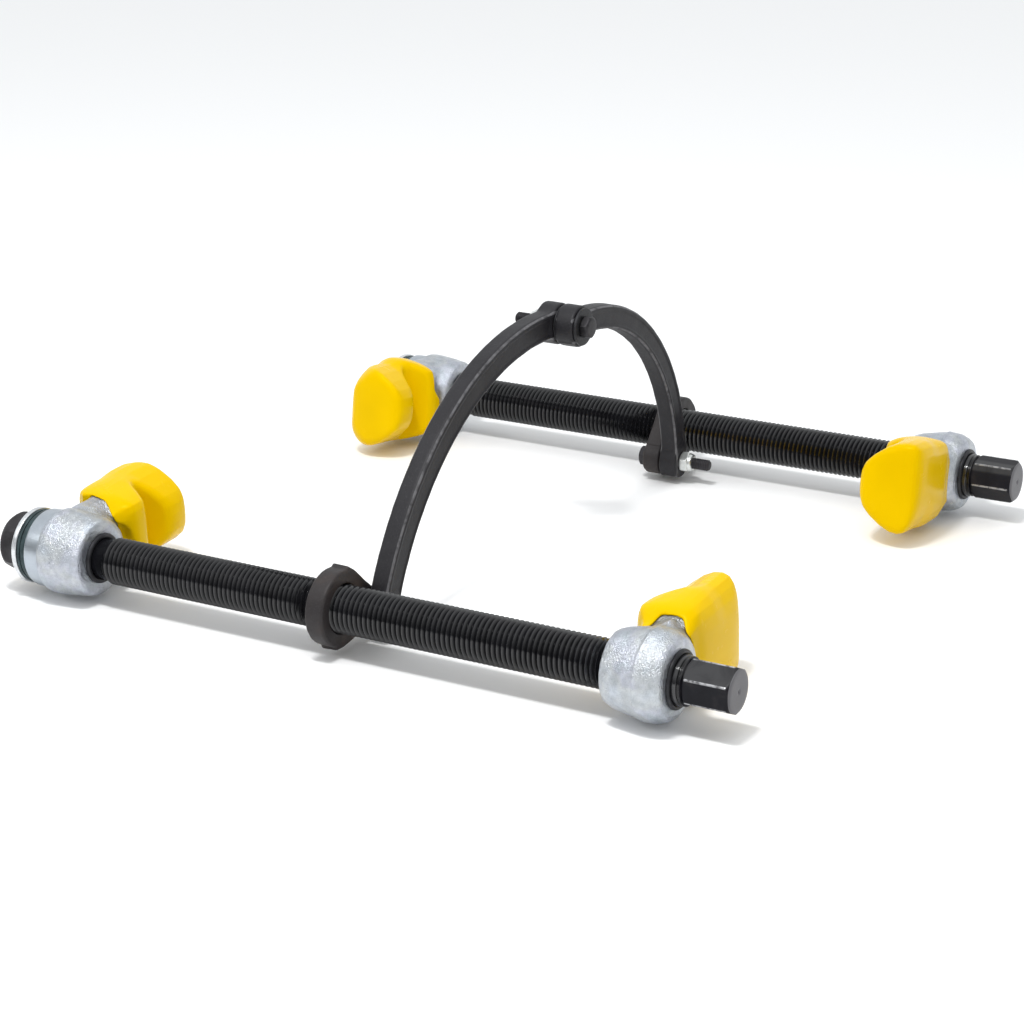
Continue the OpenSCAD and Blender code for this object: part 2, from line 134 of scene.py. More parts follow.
def claw_skin(a, r, t, kind="fixed"):
    """Outer skin of the claw with its cover on, in the claw's own coordinates:
    a towards the other jaw, r away from the spindle, t up. The travelling
    jaw is the same form turned end for end, and a little slimmer."""
    a, r, t = (np.asarray(v, np.float32) for v in (a, r, t))
    if kind == "travel":
        a = np.where(a < 0, a / 0.89, a / 0.905).astype(np.float32)
        t = -t
    side = sd_poly(a, r, SIDE)
    w1 = sstep(17.0, 27.5, r)
    w2 = sstep(38.1, 49.8, r)
    k = 24.5 / arm_height(r)
    arm = sd_poly(a, t * k, ARM) / k
    tip = sd_poly(a, t, TIP_TRAVEL if kind == "travel" else TIP)
    sect = (1 - w1) * arm + w1 * ((1 - w2) * sd_poly(a, t, LOBE) + w2 * tip)
    front = sd_poly(r, t, FRONT)
    d = smax(smax(side, sect, 3.6), front, 3.6)
    if kind == "travel":
        return d
    # the two outer corners of the tip on the side away from the other jaw are cut off
    d = smax(d, (-a - 8) * 0.55 + (t - 14) * 0.55 + (r - 60) * 0.63 - 5.6, 3.0)
    return smax(d, (-a - 8) * 0.55 + (-t - 12) * 0.6 + (r - 60) * 0.58 - 2.6, 3.0)


SIDE, LOBE, TIP, TIP_TRAVEL, ARM, FRONT = chaikin(CLAW_SIDE, 2), chaikin(CLAW_LOBE, 2), chaikin(CLAW_TIP, 2), chaikin(CLAW_TIP_TRAVEL, 2), chaikin(CLAW_ARM, 1, q=0.12), chaikin(CLAW_FRONT, 2)


BOSS_FIXED = [[FLANGE_X, 0], [FLANGE_X, 17.9], [FLANGE_X + 0.6, 18.5], [FLANGE_X + 8.4, 18.7], [FLANGE_X + 9.2, 19.6],
              [FLANGE_X + 10.2, 20.2], [FIXED_AT, 20.4], [FIXED_AT + 5, 20.0], [FIXED_AT + 11, 19.3],
              [FIXED_FACE - 2.0, 18.4], [FIXED_FACE - 0.5, 17.4], [FIXED_FACE, 15.9], [FIXED_FACE, 0]]
BOSS_TRAVEL = [[TRAVEL_FACE, 0], [TRAVEL_FACE, 14.2], [TRAVEL_FACE + 1.0, 16.1], [TRAVEL_FACE + 4.5, 17.5], [TRAVEL_FACE + 12, 19.0],
               [TRAVEL_FACE + 19.5, 20.3], [TRAVEL_FACE + 24, 20.0],
               [TRAVEL_BACK - 2.4, 18.5], [TRAVEL_BACK - 0.6, 17.2], [TRAVEL_BACK, 15.4], [TRAVEL_BACK, 0]]


def grid(lo, hi, h):
    n = [int(math.ceil((b - a) / h)) + 1 for a, b in zip(lo, hi)]
    ax = [np.float32(a) + np.arange(k, dtype=np.float32) * np.float32(h) for a, k in zip(lo, n)]
    return ax[0][:, None, None], ax[1][None, :, None], ax[2][None, None, :]


def nets(f, lo, h, relax=2):
    """Closed quad mesh of the surface f = 0, its points pulled onto the surface."""
    f = np.ascontiguousarray(f, np.float32)
    f[0], f[-1] = np.maximum(f[0], h), np.maximum(f[-1], h)
    f[:, 0], f[:, -1] = np.maximum(f[:, 0], h), np.maximum(f[:, -1], h)
    f[:, :, 0], f[:, :, -1] = np.maximum(f[:, :, 0], h), np.maximum(f[:, :, -1], h)
    neg = f < 0
    S = f.shape
    C = tuple(s - 1 for s in S)
    acc = np.zeros(C + (3,), np.float32)
    cnt = np.zeros(C, np.float32)
    edges = []
    for ax in range(3):
        a = [slice(None)] * 3
        b = [slice(None)] * 3
        a[ax], b[ax] = slice(0, -1), slice(1, None)
        fa, fb = f[tuple(a)], f[tuple(b)]
        idx = np.argwhere(neg[tuple(a)] != neg[tuple(b)])
        va, vb = fa[tuple(idx.T)], fb[tuple(idx.T)]
        t = va / (va - vb)
        pos = idx.astype(np.float32)
        pos[:, ax] += t
        u, v = (ax + 1) % 3, (ax + 2) % 3
        for du in (0, -1):
            for dv in (0, -1):
                c = idx.copy()
                c[:, u] += du
                c[:, v] += dv
                ok = np.all((c >= 0) & (c < np.array(C)), 1)
                ci = np.ravel_multi_index(c[ok].T, C)
                for k in range(3):
                    acc.reshape(-1, 3)[:, k] += np.bincount(ci, pos[ok, k], minlength=cnt.size).astype(np.float32)
                cnt.reshape(-1)[:] += np.bincount(ci, minlength=cnt.size).astype(np.float32)
        edges.append((idx, neg[tuple(a)][tuple(idx.T)]))
    act = np.flatnonzero(cnt.reshape(-1) > 0)
    num = np.full(cnt.size, -1, np.int64)
    num[act] = np.arange(len(act))
    P = acc.reshape(-1, 3)[act] / cnt.reshape(-1)[act][:, None]
    quads = []
    for ax in range(3):
        idx, na = edges[ax]
        u, v = (ax + 1) % 3, (ax + 2) % 3
        ring = []
        for du, dv in ((-1, -1), (0, -1), (0, 0), (-1, 0)):
            c = idx.copy()
            c[:, u] += du
            c[:, v] += dv
            ring.append(num[np.ravel_multi_index(c.T, C)])
        q = np.stack(ring, 1)
        q = np.where(na[:, None], q, q[:, ::-1])
        quads.append(q)
    Q = np.vstack(quads)
    # pull to the surface, with a little tangential smoothing in between
    G = np.stack(np.gradient(f), -1)

    def sample(F, p):
        i = np.clip(np.floor(p).astype(int), 0, np.array(S) - 2)
        w = (p - i).astype(np.float32)
        out = 0
        for dx in (0, 1):
            for dy in (0, 1):
                for dz in (0, 1):
                    ww = (w[:, 0] if dx else 1 - w[:, 0]) * (w[:, 1] if dy else 1 - w[:, 1]) * (w[:, 2] if dz else 1 - w[:, 2])
                    val = F[i[:, 0] + dx, i[:, 1] + dy, i[:, 2] + dz]
                    out = out + (val * ww if val.ndim == 1 else val * ww[:, None])
        return out

    E = np.vstack([Q[:, [0, 1]], Q[:, [1, 2]], Q[:, [2, 3]], Q[:, [3, 0]]])
    n = len(P)
    deg = np.bincount(E[:, 0], minlength=n) + np.bincount(E[:, 1], minlength=n)
    for it in range(relax + 1):
        if it:
            M = np.stack([np.bincount(E[:, 0], P[E[:, 1], k], minlength=n) + np.bincount(E[:, 1], P[E[:, 0], k], minlength=n) for k in range(3)], 1) / deg[:, None]
            P = P * 0.45 + M * 0.55
        for _ in range(2):
            v = sample(f, P)
            g = sample(G, P)
            g2 = np.maximum((g * g).sum(1), 0.05)
            P = P - np.clip(v / g2, -0.6, 0.6)[:, None] * g
    return P.astype(float) * h + np.array(lo, float), Q


# ---------------------------------------------------------------- pieces
# Where the two spindles' own coordinates lie in the model's frame.
XF, XR, YF, YR, Z0 = 186.8, 193.6, -156.75, 156.75, 22.1
P_FRONT = (24 * math.cos(math.radians(16.7)), -24 * math.sin(math.radians(16.7)))
P_REAR = (313.5 - 24 * math.cos(math.radians(25.7)), -24 * math.sin(math.radians(25.7)))
P_TOP = (179.9, 89.6)
RING_W, RING_R = 9.5, 17.5
FR_X = -192.2                       # front ring's right face, front coordinates
RR_X = FR_X + 11.0                  # rear ring's right face
FA_X, RA_X = FR_X + 0.3, RR_X + 0.3  # left faces of the half-arches
ARCH_T, ARCH_W = 10.0, 12.0


def mesh_piece(name, V, F, body, nodes, slot, mat, side="front", smooth=True):
    """side front or rear: V in that spindle's own coordinates; frame: already placed, in mm."""
    V = np.array(V, float)
    F = [list(map(int, f)) for f in F]
    if side == "front":
        V = V + [XF, YF, Z0]
    elif side == "rear":
        V = V * [1, -1, 1] + [XR, YR, Z0]
        F = [f[::-1] for f in F]
    me = bpy.data.meshes.new(name)
    me.from_pydata((V * 0.001).tolist(), [], F)
    me.validate()
    me.update()
    if smooth:
        me.shade_smooth()
    ob = bpy.data.objects.new(name, me)
    bpy.context.scene.collection.objects.link(ob)
    ob.data.materials.append(mat)
    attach(ob, body)
    if nodes:
        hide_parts(*nodes)
    return ob


def sharpen(ob, deg=40):
    me = ob.data
    me.shade_smooth()
    import bmesh
    bm = bmesh.new()
    bm.from_mesh(me)
    lim = math.radians(deg)
    for e in bm.edges:
        if len(e.link_faces) == 2 and e.calc_face_angle(0) > lim:
            e.smooth = False
    bm.to_mesh(me)
    bm.free()


def merge(V, F, tol=1e-5):
    """Joins points that coincide and drops the faces that collapse."""
    V = np.asarray(V, float)
    key = np.round(V / tol).astype(np.int64)
    _, first, inv = np.unique(key, axis=0, return_index=True, return_inverse=True)
    inv = inv.reshape(-1)
    out = []
    for f in F:
        g = []
        for i in f:
            j = int(inv[i])
            if not g or g[-1] != j:
                g.append(j)
        if len(g) > 1 and g[0] == g[-1]:
            g.pop()
        if len(set(g)) == len(g) and len(g) > 2:
            out.append(g)
    return V[first], out


def lathe(rows, th, close=True):
    """Surface of revolution about x: rows of (x, r) arrays over the angles th."""
    n, m = len(rows), len(th)
    V = np.zeros((n, m, 3))
    for i, (x, r) in enumerate(rows):
        V[i, :, 0] = x
        V[i, :, 1] = r * np.cos(th)
        V[i, :, 2] = r * np.sin(th)
    F = []
    for i in range(n - 1):
        for j in range(m):
            k = (j + 1) % m
            F.append((i * m + j, (i + 1) * m + j, (i + 1) * m + k, i * m + k))
    return V.reshape(-1, 3), F


def arc_corner(p0, p1, p2, rad, n=4):
    """Points that round the corner p1 with the radius rad."""
    p0, p1, p2 = (np.array(p, float) for p in (p0, p1, p2))
    a, b = p0 - p1, p2 - p1
    la, lb = np.linalg.norm(a), np.linalg.norm(b)
    a, b = a / la, b / lb
    ang = math.acos(max(-1, min(1, float(a @ b))))
    if ang > math.pi - 0.05:
        return [p1]
    d = min(rad / math.tan(ang / 2), la * 0.45, lb * 0.45)
    rad = d * math.tan(ang / 2)
    mid = (a + b) / np.linalg.norm(a + b)
    c = p1 + mid * rad / math.sin(ang / 2)
    s, e = p1 + a * d - c, p1 + b * d - c
    out = []
    for i in range(n + 1):
        t = i / n
        v = s * (1 - t) + e * t
        out.append(c + v / np.linalg.norm(v) * rad)
    return out


def rounded(pts, rad=0.3, n=4, closed=False):
    P = [np.array(p[:2], float) for p in pts]
    out = []
    for i, p in enumerate(P):
        if not closed and i in (0, len(P) - 1):
            out.append(p)
            continue
        r = pts[i][2] if len(pts[i]) > 2 else rad
        out += arc_corner(P[i - 1], p, P[(i + 1) % len(P)], r, n) if r > 0 else [p]
    return out


def turned(profile, n=128, loop=False):
    """Revolved solid. profile: (x, r) points, from axis to axis, or a loop for a ring."""
    th = np.arange(n) * 2 * math.pi / n
    rows = [(p[0], np.full(n, p[1])) for p in profile]
    V, F = lathe(rows, th)
    m = len(rows)
    if loop:
        for j in range(n):
            k = (j + 1) % n
            F.append(((m - 1) * n + j, j, k, (m - 1) * n + k))
    V, F = merge(V, F)
    return orient(V, F)


def orient(V, F):
    """Turns every face outwards, by the sign of the closed volume."""
    vol = 0.0
    for f in F:
        a = V[f[0]]
        for i in range(1, len(f) - 1):
            vol += np.dot(a, np.cross(V[f[i]], V[f[i + 1]]))
    return (V, F) if vol > 0 else (V, [list(f)[::-1] for f in F])


def hex_r(th, af, turn):
    a = (th - turn + math.pi / 6) % (math.pi / 3) - math.pi / 6
    return af / 2 / np.cos(a)


def hex_angles(turn, fine=10):
    """Angles round a hexagon with extra ones beside its corners; corners at turn + 30 + 60 k."""
    base = np.concatenate([np.linspace(-30, -27, 4)[:-1], np.linspace(-27, 27, fine * 2)[:-1], np.linspace(27, 30, 4)[:-1]])
    a = np.concatenate([base + 60 * k for k in range(6)])
    return np.radians(a) + turn


def hexed(rows, af, turn, soft=0.35, fine=10):
    """Hexagon cut by a turned outline. rows: (x, r) with r the turned radius; x also where r is 0."""
    th = hex_angles(turn, fine)
    H = hex_r(th, af, turn)
    out = []
    for x, r in rows:
        if r <= 0:
            out.append((x, np.zeros(len(th))))
        else:
            out.append((x, smin(np.full(len(th), float(r)), H, soft)))
    return out, th


def thread_patch(x0, x1, r_prof, pitch, n, clampr=None, hand=1):
    """Helical thread between x0 and x1. r_prof: (fraction of a pitch, radius) pairs."""
    K = len(r_prof)
    fr = np.array([p[0] for p in r_prof])
    rr = np.array([p[1] for p in r_prof])
    turns = int(math.ceil((x1 - x0) / pitch)) + 3
    M = turns * K + 1
    row = np.arange(M)
    base = x0 - 1.5 * pitch + (row // K + fr[row % K]) * pitch
    fx = np.concatenate([fr, [1.0]])
    fx2 = np.concatenate([rr, [rr[0]]])
    V = np.zeros((M, n + 1, 3))
    for j in range(n + 1):
        t = j / n
        th = 2 * math.pi * t
        x = np.clip(base + t * pitch * hand, x0, x1)
        ph = ((x - (x0 - 1.5 * pitch) - t * pitch * hand) / pitch) % 1.0
        r = np.interp(ph, fx, fx2)
        free = (base + t * pitch * hand > x0) & (base + t * pitch * hand < x1)
        r = np.where(free, rr[row % K], r)
        if clampr is not None:
            r = np.minimum(r, clampr(x))
        V[:, j, 0] = x
        V[:, j, 1] = r * math.cos(th % (2 * math.pi) if j < n else 0.0)
        V[:, j, 2] = r * math.sin(th if j < n else 0.0)
    F = []
    m = n + 1
    for i in range(M - 1):
        for j in range(n):
            F.append((i * m + j, (i + 1) * m + j, (i + 1) * m + j + 1, i * m + j + 1))
    return V.reshape(-1, 3), F


def join_rings(parts):
    V, F, off = [], [], 0
    for v, f in parts:
        V.append(v)
        F += [[i + off for i in q] for q in f]
        off += len(v)
    return np.vstack(V), F


# ---------------------------------------------------------------- jaws
def cover_edge(a, t, kind="fixed"):
    """How far out along the claw the cover's edge lies, at each place round it."""
    if kind == "fixed":
        top = np.interp(a, [-19, -13, -9.1, -4.5, 0.0, 5.1, 8.0, 10.2, 12.9, 24],
                        [27.0, 25.8, 23.3, 23.5, 23.0, 22.1, 20.7, 19.0, 17.6, 17.6]).astype(np.float32)
        rise = np.interp(t, [-20, -17, -7, -3, 0, 3, 5.7, 8.1, 10.3, 13], [14.3, 14.3, 13.0, 10.3, 6.8, 6.4, 5.7, 4.0, 1.4, 0]).astype(np.float32)
        low = sstep(2.0, 12.0, -t)
        return (top + rise * sstep(10.5, 15.0, a)) * (1 - low) + 31.0 * low
    top = np.interp(a, [-22, -12.2, -10.0, -8.3, -6.6, -5.2, -2.6, 0.2, 3.2, 4.8, 6.2, 8.1, 12, 17, 24],
                    [13.2, 13.4, 15.0, 17.6, 19.8, 20.8, 20.6, 20.9, 21.3, 20.9, 19.2, 15.4, 14.6, 17.0, 18.0]).astype(np.float32)
    return top + 7.0 * sstep(4.0, 16.0, -t)


def boss_field(profile, at, way, a, r, t):
    P = np.array([[way * (x - at), q] for x, q in profile])
    lo = np.array([[way * (profile[0][0] - at), -5.0], [way * (profile[-1][0] - at), -5.0]])
    P = np.vstack([P[1:-1], lo[::-1]])
    rho = np.sqrt(r * r + t * t)[0]
    tab_r = np.arange(0, 75, 0.25, dtype=np.float32)
    tab = sd_poly(a[:, 0, 0][:, None], tab_r[None, :], P)
    i = np.clip((rho / 0.25).astype(int), 0, len(tab_r) - 2)
    w = (rho / 0.25 - i).astype(np.float32)
    return tab[:, i] * (1 - w) + tab[:, i + 1] * w, rho[None]


def smooth_profile(profile, k=0.5):
    out = [profile[0]] + [list(p) for p in rounded([list(p) + [0.9] for p in profile[1:-1]], 0.9, 4)] + [profile[-1]]
    return out


def build_jaw(kind):
    """The casting and the cover of one jaw, in the claw's coordinates."""
    at, way = (FIXED_AT, 1) if kind == "fixed" else (TRAVEL_AT, -1)
    fixed = kind == "fixed"
    h = 0.42
    lo = [-17.4, -22.4, -27.0]
    hi = [23.6, 69.4, 27.0]
    a, r, t = grid(lo, hi, h)
    skin = claw_skin(a, r, t, kind) - 0.55
    boss, rho = boss_field(smooth_profile(BOSS_FIXED if fixed else BOSS_TRAVEL), at, way, a, r, t)
    inner = smax(skin + COVER, (18.0 if fixed else 13.0) - r + 0 * a + 0 * t, 2.0)
    arm = smax(sd_poly(a, t, chaikin(ARM_FIXED if fixed else ARM_TRAVEL, 1, q=0.2)) + 0 * r, np.abs(r - 17.0) - 11.5 + 0 * a + 0 * t, 3.0)
    core = smin(inner, arm, 2.2)
    # shallow dishes in the web of the arm, towards the other jaw and away from it
    for da, dr, dt, sa, sr, st in (((15.6, 21.0, 0.0, 4.0, 7.5, 10.5), (-13.6, 20.5, 0.0, 3.4, 6.5, 9.0)) if fixed else
                                   ((14.6, 19.0, 0.0, 4.0, 5.5, 9.0), (-14.2, 19.0, 0.0, 4.2, 6.5, 9.0))):
        q = np.sqrt(((a - da) / sa) ** 2 + ((r - dr) / sr) ** 2 + ((t - dt) / st) ** 2)
        core = smax(core, -(q - 1) * min(sa, sr, st), 2.5)
    k = (4.6 if fixed else 4.0) * sstep(7.0, 15.0, r) * (1 - sstep(17.0, 25.0, r)) + 0.5
    jaw = smin(boss, core, k + 0 * a)
    cast = sstep(FLANGE_X + 8.6 - at, FLANGE_X + 10.0 - at, a) if fixed else 1.0
    if fixed:
        # raised collar round the bush, and its hump under the arm
        q = np.sqrt((rho - 14.2) ** 2 + (a - 17.9) ** 2) - 1.9 * sstep(-4.0, 9.0, r)
        jaw = smin(jaw, q + 0 * t, 1.6)
        # the turned flange stays round, with a sharp shoulder behind it
        jaw = np.maximum(jaw, np.minimum(rho - 18.65, (FLANGE_X + 8.6 - at) - a))
    near = 1 - sstep(24.0, 30.0, r)
    ridge = 0.14 if fixed else 0.34
    ra = -2.6 if not fixed else -3.0
    jaw = jaw - (ridge * np.exp(-((a - ra) / 0.6) ** 2) * cast * near).astype(np.float32)
    if not fixed:
        # the parting ridge stands out as a low keel up the arm
        keel = np.maximum(0, 1 - np.abs(a + 2.4) / 3.2) * sstep(11.5, 15.5, r) * (1 - sstep(16.5, 19.5, r)) * near
        jaw = jaw - (1.1 * keel).astype(np.float32)
    wob = 0.07 * wobble(a, r, t, 4.2, 1.0 if fixed else 2.0) + 0.045 * wobble(a, r, t, 0.8, 3.0)
    jaw = jaw + (wob * cast * near).astype(np.float32)
    bore = NECK_R + 1.9 if fixed else THREAD_R + 1.25
    jaw = smax(jaw, bore - rho + 0 * a, 0.5)
    edge = cover_edge(a, t, kind)
    lip = np.exp(-np.clip(r - edge, 0, 9) / 1.3)
    outer = skin + (0.35 * lip).astype(np.float32)
    # soft moulded hollows: beside the lobe's shoulder and on the tip's inner corners
    cover = smax(outer, -(jaw - 0.06 - 0.30 * lip), 0.35)
    cover = smax(cover, (edge - r) * 0.85, 0.7)
    cover = np.maximum(cover, -(boss - 0.35))
    out = []
    for f in (jaw, cover):
        V, Q = nets(f, lo, h)
        out.append(keep_big(V, Q))
    return out


def put_jaw(mesh, kind, side):
    """Claw coordinates to the spindle's own, with that side's tilt."""
    at, way = (FIXED_AT, 1) if kind == "fixed" else (TRAVEL_AT, -1)
    c, s = math.cos(TILT[side]), math.sin(TILT[side])
    V, Q = mesh
    if side == "rear":
        # the rear jaws are the front ones turned over
        V, Q = V * [1, 1, -1], Q[:, ::-1]
    W = np.stack([at + way * V[:, 0], V[:, 1] * c - V[:, 2] * s, V[:, 1] * s + V[:, 2] * c], 1)
    return W, (Q if way > 0 else Q[:, ::-1])


def keep_big(V, Q):
    """Drops crumbs: keeps the connected shells with over 2% of the faces."""
    n = len(V)
    lab = np.arange(n)
    E = np.vstack([Q[:, [0, 1]], Q[:, [1, 2]], Q[:, [2, 3]]])
    while True:
        m = np.minimum(lab[E[:, 0]], lab[E[:, 1]])
        new = lab.copy()
        np.minimum.at(new, E[:, 0], m)
        np.minimum.at(new, E[:, 1], m)
        new = new[new]
        if (new == lab).all():
            break
        lab = new
    fl = lab[Q[:, 0]]
    ids, cnt = np.unique(fl, return_counts=True)
    good = ids[cnt > 0.02 * len(Q)]
    Q = Q[np.isin(fl, good)]
    used = np.unique(Q)
    remap = np.full(n, -1)
    remap[used] = np.arange(len(used))
    return V[used], remap[Q]


JAW_MESH = {k: build_jaw(k) for k in ("fixed", "travel")}


# ---------------------------------------------------------------- bracket
def ring_mesh(piv, r2=8.2):
    """Ring with its lug, in its own spindle's coordinates with the ring from 0 to RING_W."""
    h = 0.4
    y0, z0 = piv
    lo = [-0.9, min(-RING_R, y0 - r2) - 1.2, min(-RING_R, z0 - r2) - 1.2]
    hi = [RING_W + 0.9, max(RING_R, y0 + r2) + 1.2, max(RING_R, z0 + r2) + 1.2]
    x, y, z = grid(lo, hi, h)
    rho = np.sqrt(y * y + z * z)
    dist = math.hypot(y0, z0)
    uy, uz = y0 / dist, z0 / dist
    u, v = y * uy + z * uz, -y * uz + z * uy
    # tangents from the ring to the lug
    bb = math.acos((RING_R - r2) / dist)
    web = np.maximum(u * math.cos(bb) + np.abs(v) * math.sin(bb) - RING_R, np.maximum(-u, u - dist))
    lug = np.sqrt((y - y0) ** 2 + (z - z0) ** 2) - r2
    d = smin(smin(rho - RING_R, web, 2.5), lug, 1.5)
    w = np.abs(x - RING_W / 2) - RING_W / 2 + 0 * y
    f = smax(d + 0 * x, w, 1.6)
    f = f + 0.05 * wobble(x, y, z, 1.7, 1.0)
    f = smax(f, THREAD_R + 0.25 - rho + 0 * x, 1.0)
    f = smax(f, 3.1 - (lug + r2) + 0 * x, 0.5)
    V, Q = nets(f, lo, h)
    return V, Q


def arch_mesh(p0, p1, bend, r0, r1, seed, W=ARCH_W):
    """Half-arch in the bracket's coordinates (x from 0 to ARCH_T, y and z from the front spindle)."""
    p0, p1 = np.array(p0), np.array(p1)
    ch = p1 - p0
    l = np.linalg.norm(ch)
    u = ch / l
    n = np.array([-u[1], u[0]])
    m = (p0 + p1) / 2 - n * math.sqrt(bend * bend - l * l / 4)
    h = 0.42
    top = m[1] + bend + W / 2 + 1.5
    ylo, yhi = min(p0[0] - r0, p1[0] - r1) - 1.5, max(p0[0] + r0, p1[0] + r1, (m[0] + bend + W / 2) if p1[0] > m[0] and p1[1] < m[1] + 30 and p0[1] > p1[1] else 0) + 1.5
    if p0[0] < m[0] and p0[1] < m[1] + 60:
        ylo = min(ylo, m[0] - bend - W / 2 - 1.5) if p0[1] < m[1] else ylo
    zlo = min(p0[1] - r0, p1[1] - r1) - 1.5
    zhi = max(min(top, max(p0[1] + r0, p1[1] + r1) + 14), max(p0[1] + r0, p1[1] + r1) + 1.5)
    lo, hi = [-1.0, ylo, zlo], [ARCH_T + 1.0, yhi, zhi]
    x, y, z = grid(lo, hi, h)
    rad = np.sqrt((y - m[0]) ** 2 + (z - m[1]) ** 2)
    q = rad - bend
    cx = np.abs(x - ARCH_T / 2)
    # bar section: bevelled outer face, shallow channel with a raised rim on each side face
    bar = smax(np.abs(q) - W / 2 + 0 * x, cx - ARCH_T / 2 + 0 * y, 0.5)
    bev = (np.abs(q) + 0 * x) * 0.72 + (cx + 0 * y) * 0.69 - (W / 2 * 0.72 + ARCH_T / 2 * 0.69 - 0.95)
    bar = smax(bar, bev, 0.5)
    chan = smax(np.abs(q + 0.3) - (W / 2 - 2.7) + 0 * x, (ARCH_T / 2 - 0.6) - cx + 0 * y, 0.5)
    bar = smax(bar, -chan, 0.5)
    # between the two pivots only
    e0 = (y - p0[0]) * u[0] + (z - p0[1]) * u[1]
    e1 = (y - p1[0]) * u[0] + (z - p1[1]) * u[1]
    bar = smax(bar, np.maximum(-e0, e1) + 0 * x, 1.0)
    f = bar
    for p, rr in ((p0, r0), (p1, r1)):
        c = np.sqrt((y - p[0]) ** 2 + (z - p[1]) ** 2)
        eye = smax(c - rr + 0 * x, cx - ARCH_T / 2 + 0 * y, 1.5)
        f = smin(f, eye, 2.2)
    # the blends may not swell past the side faces
    f = smax(f, cx - ARCH_T / 2 + 0 * y, 0.6)
    f = f + 0.05 * wobble(x, y, z, 2.3, seed)
    for p in (p0, p1):
        c = np.sqrt((y - p[0]) ** 2 + (z - p[1]) ** 2)
        f = smax(f, 3.15 - c + 0 * x, 0.5)
    V, Q = nets(f, lo, h)
    return keep_big(V, Q)


# ---------------------------------------------------------------- turned parts
M22 = [(0.0, 10.88), (0.055, 11.0), (0.11, 10.88), (0.42, 9.62), (0.555, 9.48), (0.69, 9.62)]
M6 = [(0.0, 2.93), (0.06, 3.0), (0.12, 2.93), (0.5, 2.42), (0.62, 2.42)]


def spindle_mesh(turn):
    n = 96
    th = np.arange(n) * 2 * math.pi / n
    x0, x1 = -320.6, -30.0

    def clamp(x):
        return np.minimum(9.5 + (x - x0) * 0.9, 10.0 + (x1 - x) * 1.2)

    left = [(-379.4, 0.0)] + [tuple(p) for p in rounded([(-379.4, 0), (-379.4, 8.0, 0.8), (-367.2, 8.0, 0), (-367.2, NECK_R, 0.2), (x0 - 1.5, NECK_R, 0.5), (x0, 9.5)], 0.2)[1:]]
    rows = [(x, np.full(n, r)) for x, r in left]
    V1, F1 = lathe(rows, th)
    V2, F2 = thread_patch(x0, x1, M22, 2.5, n, clamp)
    right = [(x1, 10.0)] + [tuple(p) for p in rounded([(x1, 10.0), (-29.4, 10.0), (-27.4, 10.0), (-27.1, 10.95, 0.3), (-23.6, 10.95, 0.35), (-23.3, 10.25, 0.1), (-22.5, 10.25, 0.1), (-22.3, 10.6, 0.1), (-21.9, 10.6, 0.2), (-21.6, 9.4, 0.1), (-21.6, 0)], 0.2)[1:]]
    V3, F3 = lathe([(x, np.full(n, r)) for x, r in right], th)
    V, F = join_rings([(V1, F1), (V2, F2), (V3, F3)])
    V, F = merge(V, F, 2e-4)
    V, F = orient(V, F)
    # drive hexagon
    hr = 9.5 / math.cos(math.pi / 6)
    xs = [(-22.0, 0.0), (-22.0, 8.6), (-21.6, 9.3), (-21.2, 9.9), (-20.9, 10.3), (-20.5, 10.75), (-20.1, 11.1), (-19.6, 11.5), (-18.6, 12.0), (-16, 13), (-10, 13), (-5, 13),
          (-3.2, 12.4), (-2.6, 11.9), (-2.1, 11.4), (-1.7, 11.0), (-1.4, 10.65), (-1.1, 10.3), (-0.8, 9.95), (-0.5, 9.6), (-0.25, 9.3), (-0.08, 9.05), (0.0, 8.8), (0.0, 7.0), (0.0, 2.0), (-0.02, 1.3), (-0.5, 0.45), (-0.6, 0.0)]
    R, tha = hexed(xs, 19.0, math.radians(turn), 0.30, 12)
    Vh, Fh = orient(*merge(*lathe(R, tha)))
    return join_rings([(V, F), (Vh, Fh)])


HEAD_X, HEAD_L = -380.4, 13.0


def head_mesh():
    x = lambda d: HEAD_X + d
    xs = [(x(0.0), 0.0), (x(0.0), 6.0), (x(0.0), 9.2), (x(0.2), 10.1), (x(0.55), 11.0), (x(1.1), 11.9), (x(1.8), 12.75), (x(2.7), 13.5), (x(3.8), 14.2), (x(5.2), 14.75), (x(7.0), 15.2), (x(9.0), 15.6), (x(11.4), 16.2),
          (x(12.2), 15.4), (x(12.6), 14.8), (x(12.9), 14.2), (x(13.0), 13.4), (x(13.0), 12.0), (x(13.0), 0.0)]
    R, th = hexed(xs, 26.0, math.radians(-7), 0.5, 12)
    return orient(*merge(*lathe(R, th)))


